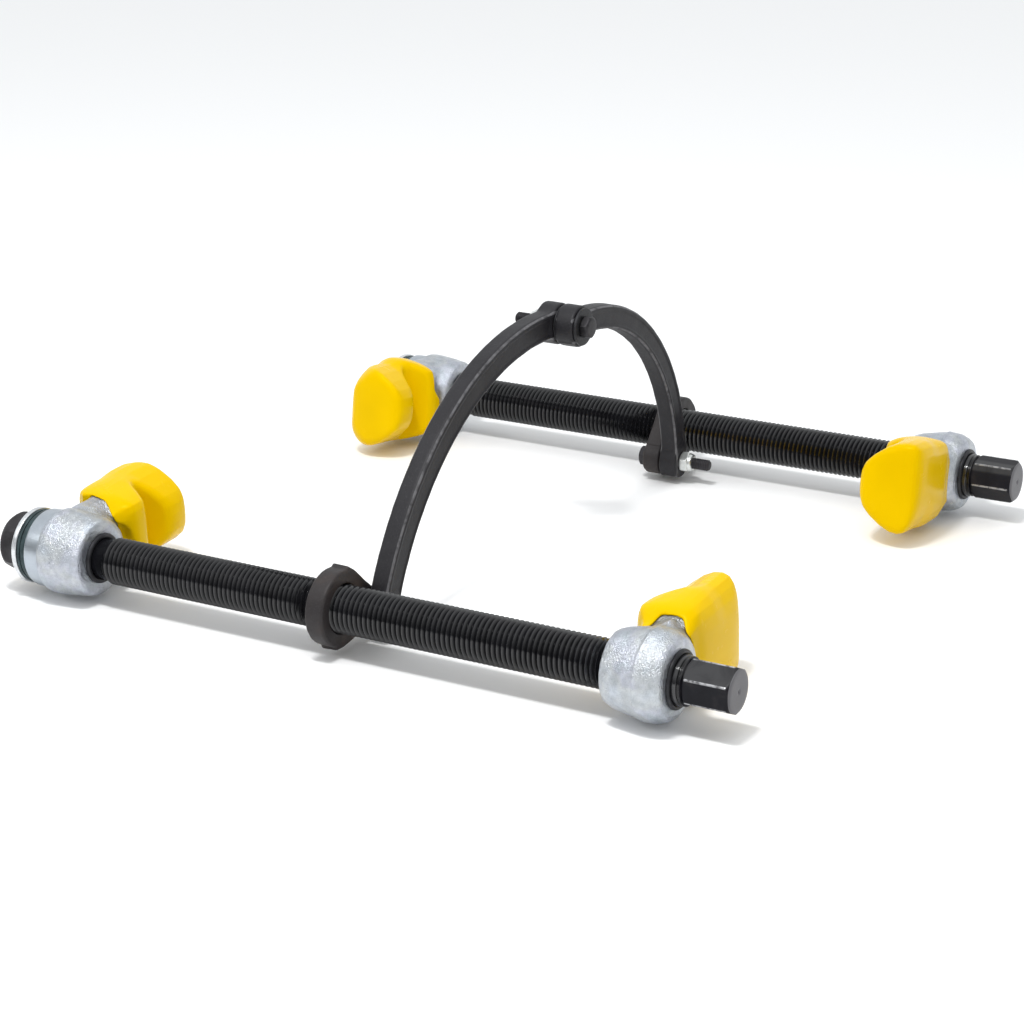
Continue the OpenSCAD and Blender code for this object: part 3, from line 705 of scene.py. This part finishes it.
def bolt_mesh(p, x_head, x_end):
    """Hexagon bolt: head from x_head for 4 mm, threaded over its last stretch."""
    s = 1 if x_end > x_head else -1
    n = 40
    th = np.arange(n) * 2 * math.pi / n
    xs = [(0.0, 0.0), (0.0, 3.9), (0.06, 4.25), (0.2, 4.6), (0.4, 4.95), (0.7, 5.3), (1.1, 5.7), (1.6, 6.2), (3.2, 6.4), (3.7, 5.9), (3.9, 5.3), (4.0, 4.7), (4.0, 0.0)]
    R, tha = hexed(xs, 10.0, math.radians(14), 0.22, 5)
    Vh, Fh = merge(*lathe([(x_head + s * x, r) for x, r in R], tha))
    L = abs(x_end - x_head)
    t0 = 3.9 + (L - 3.9) * 0.35
    rows = [(x, np.full(n, r)) for x, r in ((3.8, 0.0), (3.8, 2.98), (t0 - 0.6, 2.98), (t0, 2.42))]
    V1, F1 = lathe(rows, th)

    def clamp(x):
        return np.minimum(2.42 + (x - t0) * 1.0, 2.3 + (L - x) * 0.9)

    V2, F2 = thread_patch(t0, L, M6, 1.0, n, clamp)
    V3, F3 = lathe([(L, np.full(n, 2.3)), (L, np.full(n, 0.0))], th)
    Vs, Fs = merge(*join_rings([(V1, F1), (V2, F2), (V3, F3)]), 2e-4)
    if s < 0:
        Vs = Vs * [-1, 1, 1]
    Vs = Vs * [1, 1, 1] + [x_head, 0, 0]
    V, F = join_rings([orient(Vh, Fh), orient(Vs, Fs)])
    return V + [0, p[0], p[1]], F


def nut_mesh(p, x, way):
    """Locking nut 6.6 mm high: hexagon against the bracket, round collar outside."""
    xs = [(0.0, 4.6), (0.05, 4.9), (0.25, 5.25), (0.6, 5.7), (1.0, 6.1), (3.8, 6.1), (4.2, 5.6), (4.45, 5.2), (4.6, 4.95)]
    R, th = hexed(xs, 10.0, math.radians(5), 0.22, 5)
    col = [tuple(q) for q in rounded([(4.6, 4.75), (4.9, 4.72, 0.2), (6.2, 4.5, 0.8), (6.6, 3.6, 0.2), (6.6, 3.1)], 0.2)]
    rows = R + [(q[0], np.full(len(th), q[1])) for q in col] + [(6.3, np.full(len(th), 2.9)), (0.3, np.full(len(th), 2.9)), (0.0, np.full(len(th), 3.4))]
    V, F = lathe(rows, th)
    m, n = len(rows), len(th)
    for j in range(n):
        k = (j + 1) % n
        F.append(((m - 1) * n + j, j, k, (m - 1) * n + k))
    V, F = merge(V, F)
    if way < 0:
        V = V * [-1, 1, 1] + [6.6, 0, 0]
    return orient(V, F)[0] + [x, p[0], p[1]], orient(V, F)[1]


def ring_loop(pts, n=96):
    return turned([tuple(p) for p in rounded(pts, 0.3, closed=True)], n, loop=True)


WX = HEAD_X + HEAD_L + 0.1
TX = WX + 2.5 + 0.15


def washer_mesh():
    return ring_loop([(WX, 9.55, 0.1), (WX, 18.1, 0.55), (WX + 2.5, 18.1, 0.55), (WX + 2.5, 9.55, 0.1)], 128)


def thrust_mesh():
    # two races with a dark seam between them
    w = 4.85
    pts = [(TX, 9.6, 0.1), (TX, 17.5, 0.5), (TX + 1.5, 17.5, 0.35), (TX + 1.65, 16.8, 0.1), (TX + 1.85, 16.8, 0.1), (TX + 2.0, 17.3, 0.3), (TX + w, 17.3, 0.4), (TX + w, 9.6, 0.1)]
    return ring_loop(pts, 128)


def bush_mesh():
    f = FIXED_FACE
    pts = [(f - 20, 9.56, 0.1), (f - 20, 11.35, 0.3), (f - 0.02, 11.35, 0.02), (f - 0.02, 11.9, 0.1), (f + 1.0, 11.9, 0.5), (f + 1.6, 11.2, 0.4), (f + 1.6, 10.2, 0.3), (f + 1.1, 9.56, 0.2)]
    return ring_loop(pts, 96)


def insert_mesh():
    b = TRAVEL_BACK
    pts = [(TRAVEL_FACE + 1, 11.06, 0.1), (TRAVEL_FACE + 1, 12.2, 0.3), (b - 0.02, 12.2, 0.02), (b - 0.02, 12.9, 0.1), (b + 0.9, 12.9, 0.5), (b + 1.5, 12.3, 0.4), (b + 1.5, 11.5, 0.2), (b + 1.2, 11.06, 0.1)]
    return ring_loop(pts, 96)


def flat_washers():
    out = []
    for x, t in ((FA_X + ARCH_T + 0.15, 0.7), (RA_X + ARCH_T + 0.15, 1.3)):
        V, F = ring_loop([(x, 3.1, 0.05), (x, 9.2, 0.25), (x + t, 9.2, 0.25), (x + t, 3.1, 0.05)], 64)
        out.append((V + [0, P_TOP[0], P_TOP[1]], F))
    return join_rings(out)


# ---------------------------------------------------------------- materials
class Nodes:
    """Small helper to write a node tree in a few lines."""

    def __init__(self, name):
        self.mat = bpy.data.materials.new(name)
        self.mat.use_nodes = True
        self.t = self.mat.node_tree
        self.t.nodes.clear()
        self.out = self.t.nodes.new("ShaderNodeOutputMaterial")
        self.b = self.t.nodes.new("ShaderNodeBsdfPrincipled")
        self.t.links.new(self.b.outputs[0], self.out.inputs[0])
        self.co = self.t.nodes.new("ShaderNodeTexCoord").outputs["Object"]

    def link(self, a, b):
        self.t.links.new(a, b)

    def put(self, sock, val):
        if hasattr(val, "is_output") or isinstance(val, bpy.types.NodeSocket):
            self.link(val, sock)
        elif isinstance(val, (tuple, list)) and len(val) == 3 and len(sock.default_value) == 4:
            sock.default_value = (*val, 1)
        else:
            sock.default_value = val

    def math(self, op, a, b=None, clamp=False, c=None):
        n = self.t.nodes.new("ShaderNodeMath")
        n.operation = op
        n.use_clamp = clamp
        self.put(n.inputs[0], a)
        if b is not None:
            self.put(n.inputs[1], b)
        if c is not None:
            self.put(n.inputs[2], c)
        return n.outputs[0]

    def noise(self, scale, detail=3.0, rough=0.5, dist=0.0, co=None):
        n = self.t.nodes.new("ShaderNodeTexNoise")
        self.put(n.inputs["Vector"], co or self.co)
        n.inputs["Scale"].default_value = scale
        n.inputs["Detail"].default_value = detail
        n.inputs["Roughness"].default_value = rough
        n.inputs["Distortion"].default_value = dist
        return n.outputs[0]

    def voronoi(self, scale, feature="F1", out="Distance", co=None, rand=1.0):
        n = self.t.nodes.new("ShaderNodeTexVoronoi")
        n.feature = feature
        self.put(n.inputs["Vector"], co or self.co)
        n.inputs["Scale"].default_value = scale
        n.inputs["Randomness"].default_value = rand
        return n.outputs[out]

    def ramp(self, fac, stops):
        n = self.t.nodes.new("ShaderNodeValToRGB")
        el = n.color_ramp.elements
        while len(el) < len(stops):
            el.new(0.5)
        for e, (p, c) in zip(el, stops):
            e.position = p
            e.color = (c, c, c, 1) if isinstance(c, (int, float)) else (*c, 1)
        self.put(n.inputs[0], fac)
        return n.outputs[0]

    def mix(self, fac, a, b, mode="MIX"):
        n = self.t.nodes.new("ShaderNodeMix")
        n.data_type = "RGBA"
        n.blend_type = mode
        self.put(n.inputs[0], fac)
        self.put(n.inputs[6], a)
        self.put(n.inputs[7], b)
        return n.outputs[2]

    def bump(self, height, strength, dist, normal=None):
        n = self.t.nodes.new("ShaderNodeBump")
        n.inputs["Strength"].default_value = strength
        n.inputs["Distance"].default_value = dist
        self.put(n.inputs["Height"], height)
        if normal is not None:
            self.link(normal, n.inputs["Normal"])
        return n.outputs[0]

    def sep(self, v=None):
        n = self.t.nodes.new("ShaderNodeSeparateXYZ")
        self.put(n.inputs[0], v or self.co)
        return n.outputs

    def comb(self, x, y, z):
        n = self.t.nodes.new("ShaderNodeCombineXYZ")
        for s, v in zip(n.inputs, (x, y, z)):
            self.put(s, v)
        return n.outputs[0]

    def radius(self, y0, z0):
        """Distance from the line along x through (y0, z0), in metres."""
        s = self.sep()
        a = self.math("SUBTRACT", s[1], y0)
        b = self.math("SUBTRACT", s[2], z0)
        return self.math("SQRT", self.math("ADD", self.math("MULTIPLY", a, a), self.math("MULTIPLY", b, b)))

    def stretch(self, x, y, z):
        n = self.t.nodes.new("ShaderNodeMapping")
        self.put(n.inputs["Vector"], self.co)
        n.inputs["Scale"].default_value = (x, y, z)
        return n.outputs[0]

    def finish(self, color, rough, metal, normal=None, **kw):
        i = self.b.inputs
        self.put(i["Base Color"], color)
        self.put(i["Roughness"], rough)
        self.put(i["Metallic"], metal)
        if normal is not None:
            self.link(normal, i["Normal"])
        for k, v in kw.items():
            i[k.replace("_", " ")].default_value = v
        return self.mat


YFm, YRm, Z0m = YF * 0.001, YR * 0.001, Z0 * 0.001


def mat_zinc(name, y0, axis_x, flange=None):
    """Rough forging under bright zinc: fine sparkle, faint iridescence, smoother turned flange."""
    m = Nodes(name)
    big = m.noise(60, 3, 0.55)
    mid = m.noise(260, 3, 0.6)
    grain = m.noise(1300, 2, 0.6)
    fine = m.noise(3200, 2, 0.6)
    base = m.ramp(m.math("ADD", m.math("MULTIPLY", mid, 0.5), m.math("MULTIPLY", fine, 0.5)),
                  [(0.32, (0.34, 0.365, 0.40)), (0.50, (0.50, 0.53, 0.565)), (0.68, (0.66, 0.69, 0.725))])
    tint = m.ramp(big, [(0.30, (0.93, 0.96, 1.0)), (0.45, (1.0, 0.985, 0.94)), (0.55, (0.95, 0.93, 1.0)), (0.70, (0.93, 1.0, 1.0))])
    col = m.mix(0.7, base, tint, "MULTIPLY")
    rough = m.math("ADD", 0.20, m.math("ADD", m.math("MULTIPLY", fine, 0.12), m.math("MULTIPLY", grain, 0.10)))
    h = m.math("ADD", m.math("MULTIPLY", grain, 1.0), m.math("ADD", m.math("MULTIPLY", fine, 0.30), m.math("MULTIPLY", mid, 0.35)))
    if flange is not None:
        # the turned flange is smoother, with fine rings left by the tool
        x = m.sep()[0]
        lo, hi = flange
        inside = m.math("MULTIPLY", m.math("GREATER_THAN", x, lo), m.math("LESS_THAN", x, hi))
        r = m.radius(y0, Z0m)
        inside = m.math("MULTIPLY", inside, m.math("LESS_THAN", r, 0.01865))
        rings = m.noise(1.0, 2, 0.5, co=m.comb(m.math("MULTIPLY", x, 3600.0), m.math("MULTIPLY", r, 2600.0), 0.0))
        keep = m.math("SUBTRACT", 1.0, m.math("MULTIPLY", inside, 0.93))
        h = m.math("ADD", m.math("MULTIPLY", h, keep), m.math("MULTIPLY", m.math("MULTIPLY", rings, inside), 0.14))
        col = m.mix(m.math("MULTIPLY", inside, 0.75), col, (0.40, 0.445, 0.49))
    n = m.bump(h, 1.0, 0.00050)
    return m.finish(col, rough, 0.96, n)


def mat_yellow(name):
    """Moulded cover: warm yellow, faint orange peel, rubbed dull at the edges."""
    m = Nodes(name)
    big = m.noise(38, 2, 0.5)
    fine = m.noise(1500, 2, 0.5)
    peel = m.noise(260, 2, 0.5)
    scuff = m.ramp(m.noise(120, 5, 0.65, 0.4), [(0.60, 0.0), (0.72, 1.0)])
    col = m.ramp(big, [(0.25, (0.70, 0.440, 0.0002)), (0.5, (0.73, 0.462, 0.0002)), (0.75, (0.76, 0.484, 0.0003))])
    col = m.mix(m.math("MULTIPLY", scuff, 0.10), col, (0.66, 0.42, 0.01))
    rough = m.math("ADD", 0.22, m.math("ADD", m.math("MULTIPLY", scuff, 0.12), m.math("MULTIPLY", fine, 0.06)))
    n = m.bump(m.math("ADD", m.math("MULTIPLY", peel, 0.8), m.math("MULTIPLY", fine, 0.25)), 0.16, 0.0003)
    mat = m.finish(col, rough, 0.0, n)
    m.b.inputs["Subsurface Weight"].default_value = 0.08
    m.b.inputs["Subsurface Radius"].default_value = (0.0016, 0.0009, 0.0002)
    m.b.inputs["Specular IOR Level"].default_value = 0.5
    m.b.inputs["IOR"].default_value = 1.22
    m.b.inputs["Specular Tint"].default_value = (1.0, 0.78, 0.05, 1)
    return mat


def mat_spindle(name, y0):
    """Oiled black oxide: near-black flanks, slightly rubbed crests, fine turning marks."""
    m = Nodes(name)
    r = m.radius(y0, Z0m)
    crest = m.ramp(m.math("MULTIPLY", r, 1000 / 12.0), [(0.885, 0.0), (0.912, 1.0)])
    blot = m.noise(70, 4, 0.6)
    fine = m.noise(1400, 3, 0.6)
    x = m.sep()[0]
    turn = m.noise(1.0, 2, 0.5, co=m.comb(m.math("MULTIPLY", x, 5200.0), m.math("MULTIPLY", r, 900.0), 0.0))
    rub = m.math("MULTIPLY", crest, m.ramp(blot, [(0.35, 0.35), (0.65, 1.0)]))
    col = m.mix(m.math("MULTIPLY", rub, 0.55), m.ramp(blot, [(0.3, (0.0030, 0.0030, 0.0036)), (0.7, (0.006, 0.006, 0.0075))]), (0.024, 0.024, 0.027))
    rough = m.math("ADD", 0.06, m.math("ADD", m.math("MULTIPLY", fine, 0.08), m.math("MULTIPLY", blot, 0.08)))
    n = m.bump(m.math("ADD", m.math("MULTIPLY", turn, 0.5), m.math("MULTIPLY", fine, 0.5)), 0.22, 0.00012)
    # the grooves get a low specular level and the crests a high one: painted shade in the grooves, while the crests
    # shine
    m.link(m.ramp(m.math("MULTIPLY", r, 1000 / 12.0), [(0.80, 0.04), (0.865, 0.45), (0.905, 0.72)]), m.b.inputs["Specular IOR Level"])
    return m.finish(col, rough, 0.0, n)


def mat_hex(name, x_lo, y0, side):
    """Drive hexagon: black oxide over drawn steel, a painted highlight on the flat that faces up and to the front, its
    edges rubbed, a turned end face.
    """
    m = Nodes(name)
    blot = m.noise(95, 4, 0.6, 0.5)
    fine = m.noise(1300, 3, 0.6)
    drawn = m.noise(1.0, 3, 0.6, co=m.stretch(120, 1500, 1500))
    s = m.sep()
    x = s[0]
    r = m.radius(y0, Z0m)
    face = m.math("GREATER_THAN", x, x_lo)
    # painted light: the flat that looks up and to the front, towards the key light, is painted lighter
    facing_the_light = m.math("ADD", m.math("MULTIPLY", m.math("SUBTRACT", s[2], Z0m), 0.84), m.math("MULTIPLY", m.math("SUBTRACT", s[1], y0), -0.54))
    top = m.ramp(m.math("MULTIPLY", facing_the_light, 100.0), [(0.86, 0.0), (0.93, 1.0)])
    col = m.ramp(blot, [(0.30, (0.0075, 0.0075, 0.0095)), (0.52, (0.010, 0.010, 0.013)), (0.72, (0.020, 0.018, 0.020))])
    # painted highlight: that flat is mixed towards a lighter grey
    col = m.mix(m.math("MULTIPLY", top, m.ramp(blot, [(0.35, 0.55), (0.6, 1.0)])), col, (0.042, 0.042, 0.044))
    worn = m.ramp(m.math("MULTIPLY", r, 1000 / 12.0), [(0.886, 0.0), (0.897, 1.0)])
    worn = m.math("MULTIPLY", worn, m.ramp(m.noise(420, 4, 0.6), [(0.38, 0.15), (0.56, 1.0)]))
    col = m.mix(worn, col, (0.34, 0.34, 0.35))
    col = m.mix(m.math("MULTIPLY", face, 0.85), col, (0.145, 0.142, 0.150))
    rough = m.math("ADD", 0.20, m.math("ADD", m.math("MULTIPLY", blot, 0.16), m.math("MULTIPLY", drawn, 0.10)))
    n = m.bump(m.math("ADD", drawn, m.math("MULTIPLY", fine, 0.6)), 0.25, 0.00010)
    return m.finish(col, rough, m.math("MULTIPLY", worn, 0.7), n, Specular_IOR_Level=0.11)


def mat_blackpaint(name, warm=False, edge_highlights=()):
    """Satin black over a forged bar: fine pebble, faint draw lines, painted highlights along the rims."""
    m = Nodes(name)
    big = m.noise(45, 4, 0.6)
    fine = m.noise(1100, 4, 0.7)
    mid = m.noise(330, 3, 0.6)
    pits = m.voronoi(650, "F1", "Distance")
    if warm:
        col = m.ramp(big, [(0.30, (0.018, 0.0165, 0.018)), (0.55, (0.028, 0.0235, 0.0235)), (0.75, (0.052, 0.037, 0.030))])
    else:
        col = m.ramp(big, [(0.30, (0.0125, 0.0118, 0.0140)), (0.70, (0.0205, 0.0198, 0.0228))])
    speck = m.ramp(m.noise(2100, 2, 0.6), [(0.60, 0.0), (0.70, 1.0)])
    col = m.mix(m.math("MULTIPLY", speck, 0.35), col, (0.085, 0.083, 0.090))
    # a painted highlight along the long edges of an arch, broken up by noise: y and z of the bend's centre, its radius
    # there, x of the side face
    for my, mz, rr, xe in edge_highlights:
        r = m.radius(my, mz)
        x = m.sep()[0]
        dr, dx = m.math("SUBTRACT", r, rr), m.math("SUBTRACT", x, xe)
        dist = m.math("SQRT", m.math("ADD", m.math("MULTIPLY", dr, dr), m.math("MULTIPLY", dx, dx)))
        line = m.ramp(m.math("MULTIPLY", dist, 1000.0), [(0.62, 1.0), (0.95, 0.0)])
        line = m.math("MULTIPLY", line, m.ramp(m.noise(240, 4, 0.6), [(0.36, 0.25), (0.58, 1.0)]))
        col = m.mix(m.math("MULTIPLY", line, 0.8), col, (0.155, 0.152, 0.160))
    rough = m.math("ADD", 0.40, m.math("ADD", m.math("MULTIPLY", fine, 0.12), m.math("MULTIPLY", big, 0.10)))
    h = m.math("ADD", m.math("MULTIPLY", fine, 0.7), m.math("ADD", m.math("MULTIPLY", mid, 0.6), m.math("MULTIPLY", pits, 0.3)))
    n = m.bump(h, 0.45, 0.00022)
    return m.finish(col, rough, 0.05, n, Specular_IOR_Level=0.26)


def mat_bright(name, y0, z0, tone=(0.78, 0.80, 0.82)):
    """Bright zinc on turned steel, with fine rings round its axis."""
    m = Nodes(name)
    r = m.radius(y0, z0)
    x = m.sep()[0]
    rings = m.noise(1.0, 3, 0.6, co=m.comb(m.math("MULTIPLY", x, 2400.0), m.math("MULTIPLY", r, 5200.0), 0.0))
    cloud = m.noise(180, 4, 0.6)
    fine = m.noise(1500, 3, 0.6)
    c = tuple(v * 0.74 for v in tone)
    col = m.mix(m.ramp(cloud, [(0.35, 0.0), (0.65, 1.0)]), c, tone)
    rough = m.math("ADD", 0.20, m.math("ADD", m.math("MULTIPLY", rings, 0.14), m.math("MULTIPLY", cloud, 0.12)))
    n = m.bump(m.math("ADD", rings, m.math("MULTIPLY", fine, 0.4)), 0.25, 0.00010)
    return m.finish(col, rough, 0.97, n)


def mat_dark(name, y0, z0, tone=(0.018, 0.018, 0.020), rough=0.34, metal=0.4):
    """Blackened steel, turned, with slight blotches."""
    m = Nodes(name)
    r = m.radius(y0, z0)
    x = m.sep()[0]
    rings = m.noise(1.0, 3, 0.6, co=m.comb(m.math("MULTIPLY", x, 2600.0), m.math("MULTIPLY", r, 4200.0), 0.0))
    blot = m.noise(130, 4, 0.6, 0.3)
    fine = m.noise(1300, 3, 0.6)
    hi = tuple(min(1, v * 2.1 + 0.004) for v in tone)
    col = m.mix(m.ramp(blot, [(0.35, 0.0), (0.70, 1.0)]), tone, hi)
    ro = m.math("ADD", rough, m.math("ADD", m.math("MULTIPLY", blot, 0.14), m.math("MULTIPLY", fine, 0.06)))
    n = m.bump(m.math("ADD", rings, fine), 0.28, 0.00012)
    return m.finish(col, ro, metal, n, Specular_IOR_Level=0.22)


# ---------------------------------------------------------------- assembly
AX = {"front": (YFm, XF), "rear": (YRm, XR)}
M_YELLOW = mat_yellow("cover_yellow")


def bend_rims(p0, p1, bend, W, x0):
    """The four long edges of a half-arch, where its material paints edge highlights, in metres."""
    p0, p1 = np.array(p0), np.array(p1)
    ch = p1 - p0
    l = np.linalg.norm(ch)
    n = np.array([-ch[1], ch[0]]) / l
    m = (p0 + p1) / 2 - n * math.sqrt(bend * bend - l * l / 4)
    return [((YF + m[0]) * 0.001, (Z0 + m[1]) * 0.001, (bend + s * (W / 2 - 0.35)) * 0.001, (XF + x0 + e) * 0.001)
            for s in (1, -1) for e in (0.35, ARCH_T - 0.35)]


# both arch materials paint a highlight line along the bar's long edges
M_ARCH = mat_blackpaint("front_arch_black", edge_highlights=bend_rims(P_FRONT, P_TOP, 150.4, 13.4, FA_X))
M_ARCH_R = mat_blackpaint("rear_arch_black", edge_highlights=bend_rims(P_TOP, P_REAR, 104.0, 12.0, RA_X))
M_RING = mat_blackpaint("ring_black", warm=True)

SP = {s: spindle_mesh(turn) for s, turn in (("front", 4.5), ("rear", 22.0))}
HEAD, WASHER, THRUST, BUSH, INSERT = head_mesh(), washer_mesh(), thrust_mesh(), bush_mesh(), insert_mesh()

for s, (ym, X) in AX.items():
    xm = X * 0.001
    m_sp = mat_spindle(f"{s}_black_oxide", ym)
    m_hex = mat_hex(f"{s}_hexagon_black", xm - 0.0006, ym, s)
    ob = mesh_piece(f"{s}_spindle_screw", *SP[s], f"{s}_screw", [f"{s}_spindle"], "black_steel", m_sp, s)
    ob.data.materials.append(m_hex)
    for p in ob.data.polygons:
        c = p.center
        if c.x > xm - 0.0221:
            p.material_index = 1
    sharpen(ob, 50)
    ob = mesh_piece(f"{s}_head_hexagon", *HEAD, f"{s}_screw", [f"{s}_head_nut"], "black_head", mat_dark(f"{s}_head_black", ym, Z0m, (0.022, 0.021, 0.023), 0.36, 0.45), s)
    sharpen(ob, 55)
    ob = mesh_piece(f"{s}_head_washer", *WASHER, f"{s}_screw", [f"{s}_washer"], "bright_zinc", mat_bright(f"{s}_washer_zinc", ym, Z0m), s)
    sharpen(ob, 55)
    ob = mesh_piece(f"{s}_thrust_races", *THRUST, f"{s}_screw", [f"{s}_thrust_ring"], "thrust_ring", mat_dark(f"{s}_thrust_dark", ym, Z0m, (0.028, 0.042, 0.045), 0.30, 0.6), s)
    sharpen(ob, 55)
    ob = mesh_piece(f"{s}_jaw_bush", *BUSH, f"{s}_base", [f"{s}_fixed_bush"], "black_steel", mat_dark(f"{s}_bush_black", ym, Z0m, (0.016, 0.016, 0.018), 0.30, 0.3), s)
    sharpen(ob, 55)
    ob = mesh_piece(f"{s}_jaw_insert", *INSERT, f"{s}_slider", [f"{s}_travel_insert"], "black_steel", mat_dark(f"{s}_insert_black", ym, Z0m, (0.016, 0.016, 0.018), 0.30, 0.3), s)
    sharpen(ob, 55)
    for kind, body in (("fixed", "base"), ("travel", "slider")):
        jaw, cover = (put_jaw(m, kind, s) for m in JAW_MESH[kind])
        fl = (xm + (FLANGE_X - 1) * 0.001, xm + (FLANGE_X + 8.5) * 0.001) if kind == "fixed" else None
        mesh_piece(f"{s}_{kind}_jaw_casting", *jaw, f"{s}_{body}", [f"{s}_{kind}_jaw"], "zinc_casting", mat_zinc(f"{s}_{kind}_zinc", ym, xm, fl), s)
        mesh_piece(f"{s}_{kind}_claw_cover", *cover, f"{s}_{body}", [f"{s}_{kind}_cover"], "yellow_plastic", M_YELLOW, s)


def bracket(V):
    return np.asarray(V, float) + [XF, YF, Z0]


rv, rf = ring_mesh(P_FRONT)
mesh_piece("front_bracket_ring", bracket(rv + [FR_X - RING_W, 0, 0]), rf, "front_collar", ["front_ring"], "black_forging", M_RING, "frame")
rv, rf = ring_mesh((P_REAR[0] - 313.5, P_REAR[1]), 8.5)
mesh_piece("rear_bracket_ring", bracket(rv + [RR_X - RING_W, 313.5, 0]), rf, "rear_collar", ["rear_ring"], "black_forging", M_RING, "frame")
av, af = arch_mesh(P_FRONT, P_TOP, 150.4, 8.4, 10.2, 1.0, 13.4)
mesh_piece("front_arch_bar", bracket(av + [FA_X, 0, 0]), af, "front_link", ["front_half_arch"], "black_paint", M_ARCH, "frame")
av, af = arch_mesh(P_TOP, P_REAR, 104.0, 10.2, 8.8, 2.0)
mesh_piece("rear_arch_bar", bracket(av + [RA_X, 0, 0]), af, "rear_link", ["rear_half_arch"], "black_paint", M_ARCH_R, "frame")


def at_pivot(p):
    return (YF + p[0]) * 0.001, (Z0 + p[1]) * 0.001


for nm, p, xh, xe, body, node in (
        ("front_lower_bolt", P_FRONT, FR_X - RING_W - 4.1, FR_X + 26.0, "front_collar", "front_pivot_bolt"),
        ("rear_lower_bolt", P_REAR, RR_X - RING_W - 4.1, RR_X + 26.5, "rear_collar", "rear_pivot_bolt"),
        ("top_bolt", P_TOP, RA_X + ARCH_T + 1.6 + 4.1, FA_X - 15.0, "front_link", "top_pivot_bolt")):
    V, F = bolt_mesh(p, xh, xe)
    ob = mesh_piece(nm, bracket(V), F, body, [node], "black_bolt", mat_dark(nm + "_black", *at_pivot(p), (0.020, 0.019, 0.021), 0.34, 0.4), "frame")
    sharpen(ob, 55)
for nm, p, x, way, body, node in (
        ("front_lower_nut", P_FRONT, FR_X + 0.5 + ARCH_T, 1, "front_collar", "front_pivot_nut"),
        ("rear_lower_nut", P_REAR, RR_X + 0.5 + ARCH_T, 1, "rear_collar", "rear_pivot_nut"),
        ("top_nut", P_TOP, FA_X - 6.7, -1, "front_link", "top_pivot_nut")):
    V, F = nut_mesh(p, x, way)
    ob = mesh_piece(nm, bracket(V), F, body, [node], "bright_zinc", mat_bright(nm + "_zinc", *at_pivot(p), (0.80, 0.82, 0.80)), "frame")
    sharpen(ob, 55)
V, F = flat_washers()
ob = mesh_piece("top_flat_washers", bracket(V), F, "front_link", ["top_washers"], "black_bolt", mat_dark("top_washer_black", *at_pivot(P_TOP), (0.022, 0.022, 0.024), 0.36, 0.5), "frame")
sharpen(ob, 55)

# ---------------------------------------------------------------- stage
bpy.ops.mesh.primitive_plane_add(size=12, location=(0, 0, -0.0003))
floor = bpy.context.object
floor.name = "stage_floor"
fm = bpy.data.materials.new("stage_floor")
fm.use_nodes = True
fb = fm.node_tree.nodes["Principled BSDF"]
fb.inputs["Base Color"].default_value = (0.93, 0.93, 0.93, 1)
fb.inputs["Roughness"].default_value = 0.9
fb.inputs["Specular IOR Level"].default_value = 0.1
floor.data.materials.append(fm)

bpy.context.scene.view_settings.view_transform = "Standard"
# a white studio: bright overhead and behind, darker low down in front
world = bpy.data.worlds.new("studio")
bpy.context.scene.world = world
world.use_nodes = True
wt = world.node_tree
bg = wt.nodes["Background"]
wc = wt.nodes.new("ShaderNodeTexCoord").outputs["Generated"]


def wmath(op, a, b, clamp=False):
    n = wt.nodes.new("ShaderNodeMath")
    n.operation, n.use_clamp = op, clamp
    for s, v in zip(n.inputs, (a, b)):
        if isinstance(v, float):
            s.default_value = v
        else:
            wt.links.new(v, s)
    return n.outputs[0]


sp = wt.nodes.new("ShaderNodeSeparateXYZ")
wt.links.new(wc, sp.inputs[0])
up = wmath("MULTIPLY", wmath("SUBTRACT", sp.outputs[2], 0.12), 2.2, True)
away = wmath("ADD", wmath("MULTIPLY", sp.outputs[1], 0.84), wmath("MULTIPLY", sp.outputs[0], -0.49))
back = wmath("MULTIPLY", wmath("ADD", away, 0.15), 1.6, True)
lum = wmath("ADD", 0.20, wmath("MULTIPLY", wmath("MAXIMUM", up, back), 0.80))
bg.inputs["Color"].default_value = (0.965, 0.985, 1.0, 1)
wt.links.new(lum, bg.inputs["Strength"])


def area(name, loc, target, size, power, color=(1, 1, 1), size_y=None):
    L = bpy.data.lights.new(name, "AREA")
    L.shape = "RECTANGLE"
    L.size = size
    L.size_y = size_y or size
    L.energy = power
    L.color = color
    ob = bpy.data.objects.new(name, L)
    bpy.context.scene.collection.objects.link(ob)
    ob.location = loc
    d = Vector(target) - Vector(loc)
    ob.rotation_euler = d.to_track_quat("-Z", "Y").to_euler()
    return ob


area("key_top", (0.05, -0.55, 1.25), (0, 0, 0), 0.20, 8.5, size_y=0.10)
area("strip_top", (0.0, -0.62, 1.20), (0, 0, 0), 1.1, 3.0, size_y=0.05)
area("front_left", (-0.9, -1.2, 1.0), (0, -0.1, 0.03), 0.25, 2.0, size_y=0.25)

cam = bpy.data.cameras.new("camera")
cam.sensor_width = 36.0
cam.lens = 2542.91 / 1024 * 36.0
cam.clip_start = 0.05
cam.clip_end = 20.0
co = bpy.data.objects.new("camera", cam)
bpy.context.scene.collection.objects.link(co)
R = CAM_R
M = Matrix(((R[0][0], -R[0][1], -R[0][2], (CAM_C[0] + XF) * 0.001),
            (R[1][0], -R[1][1], -R[1][2], (CAM_C[1] + YF) * 0.001),
            (R[2][0], -R[2][1], -R[2][2], (CAM_C[2] + Z0) * 0.001),
            (0, 0, 0, 1)))
co.matrix_world = M
bpy.context.scene.camera = co
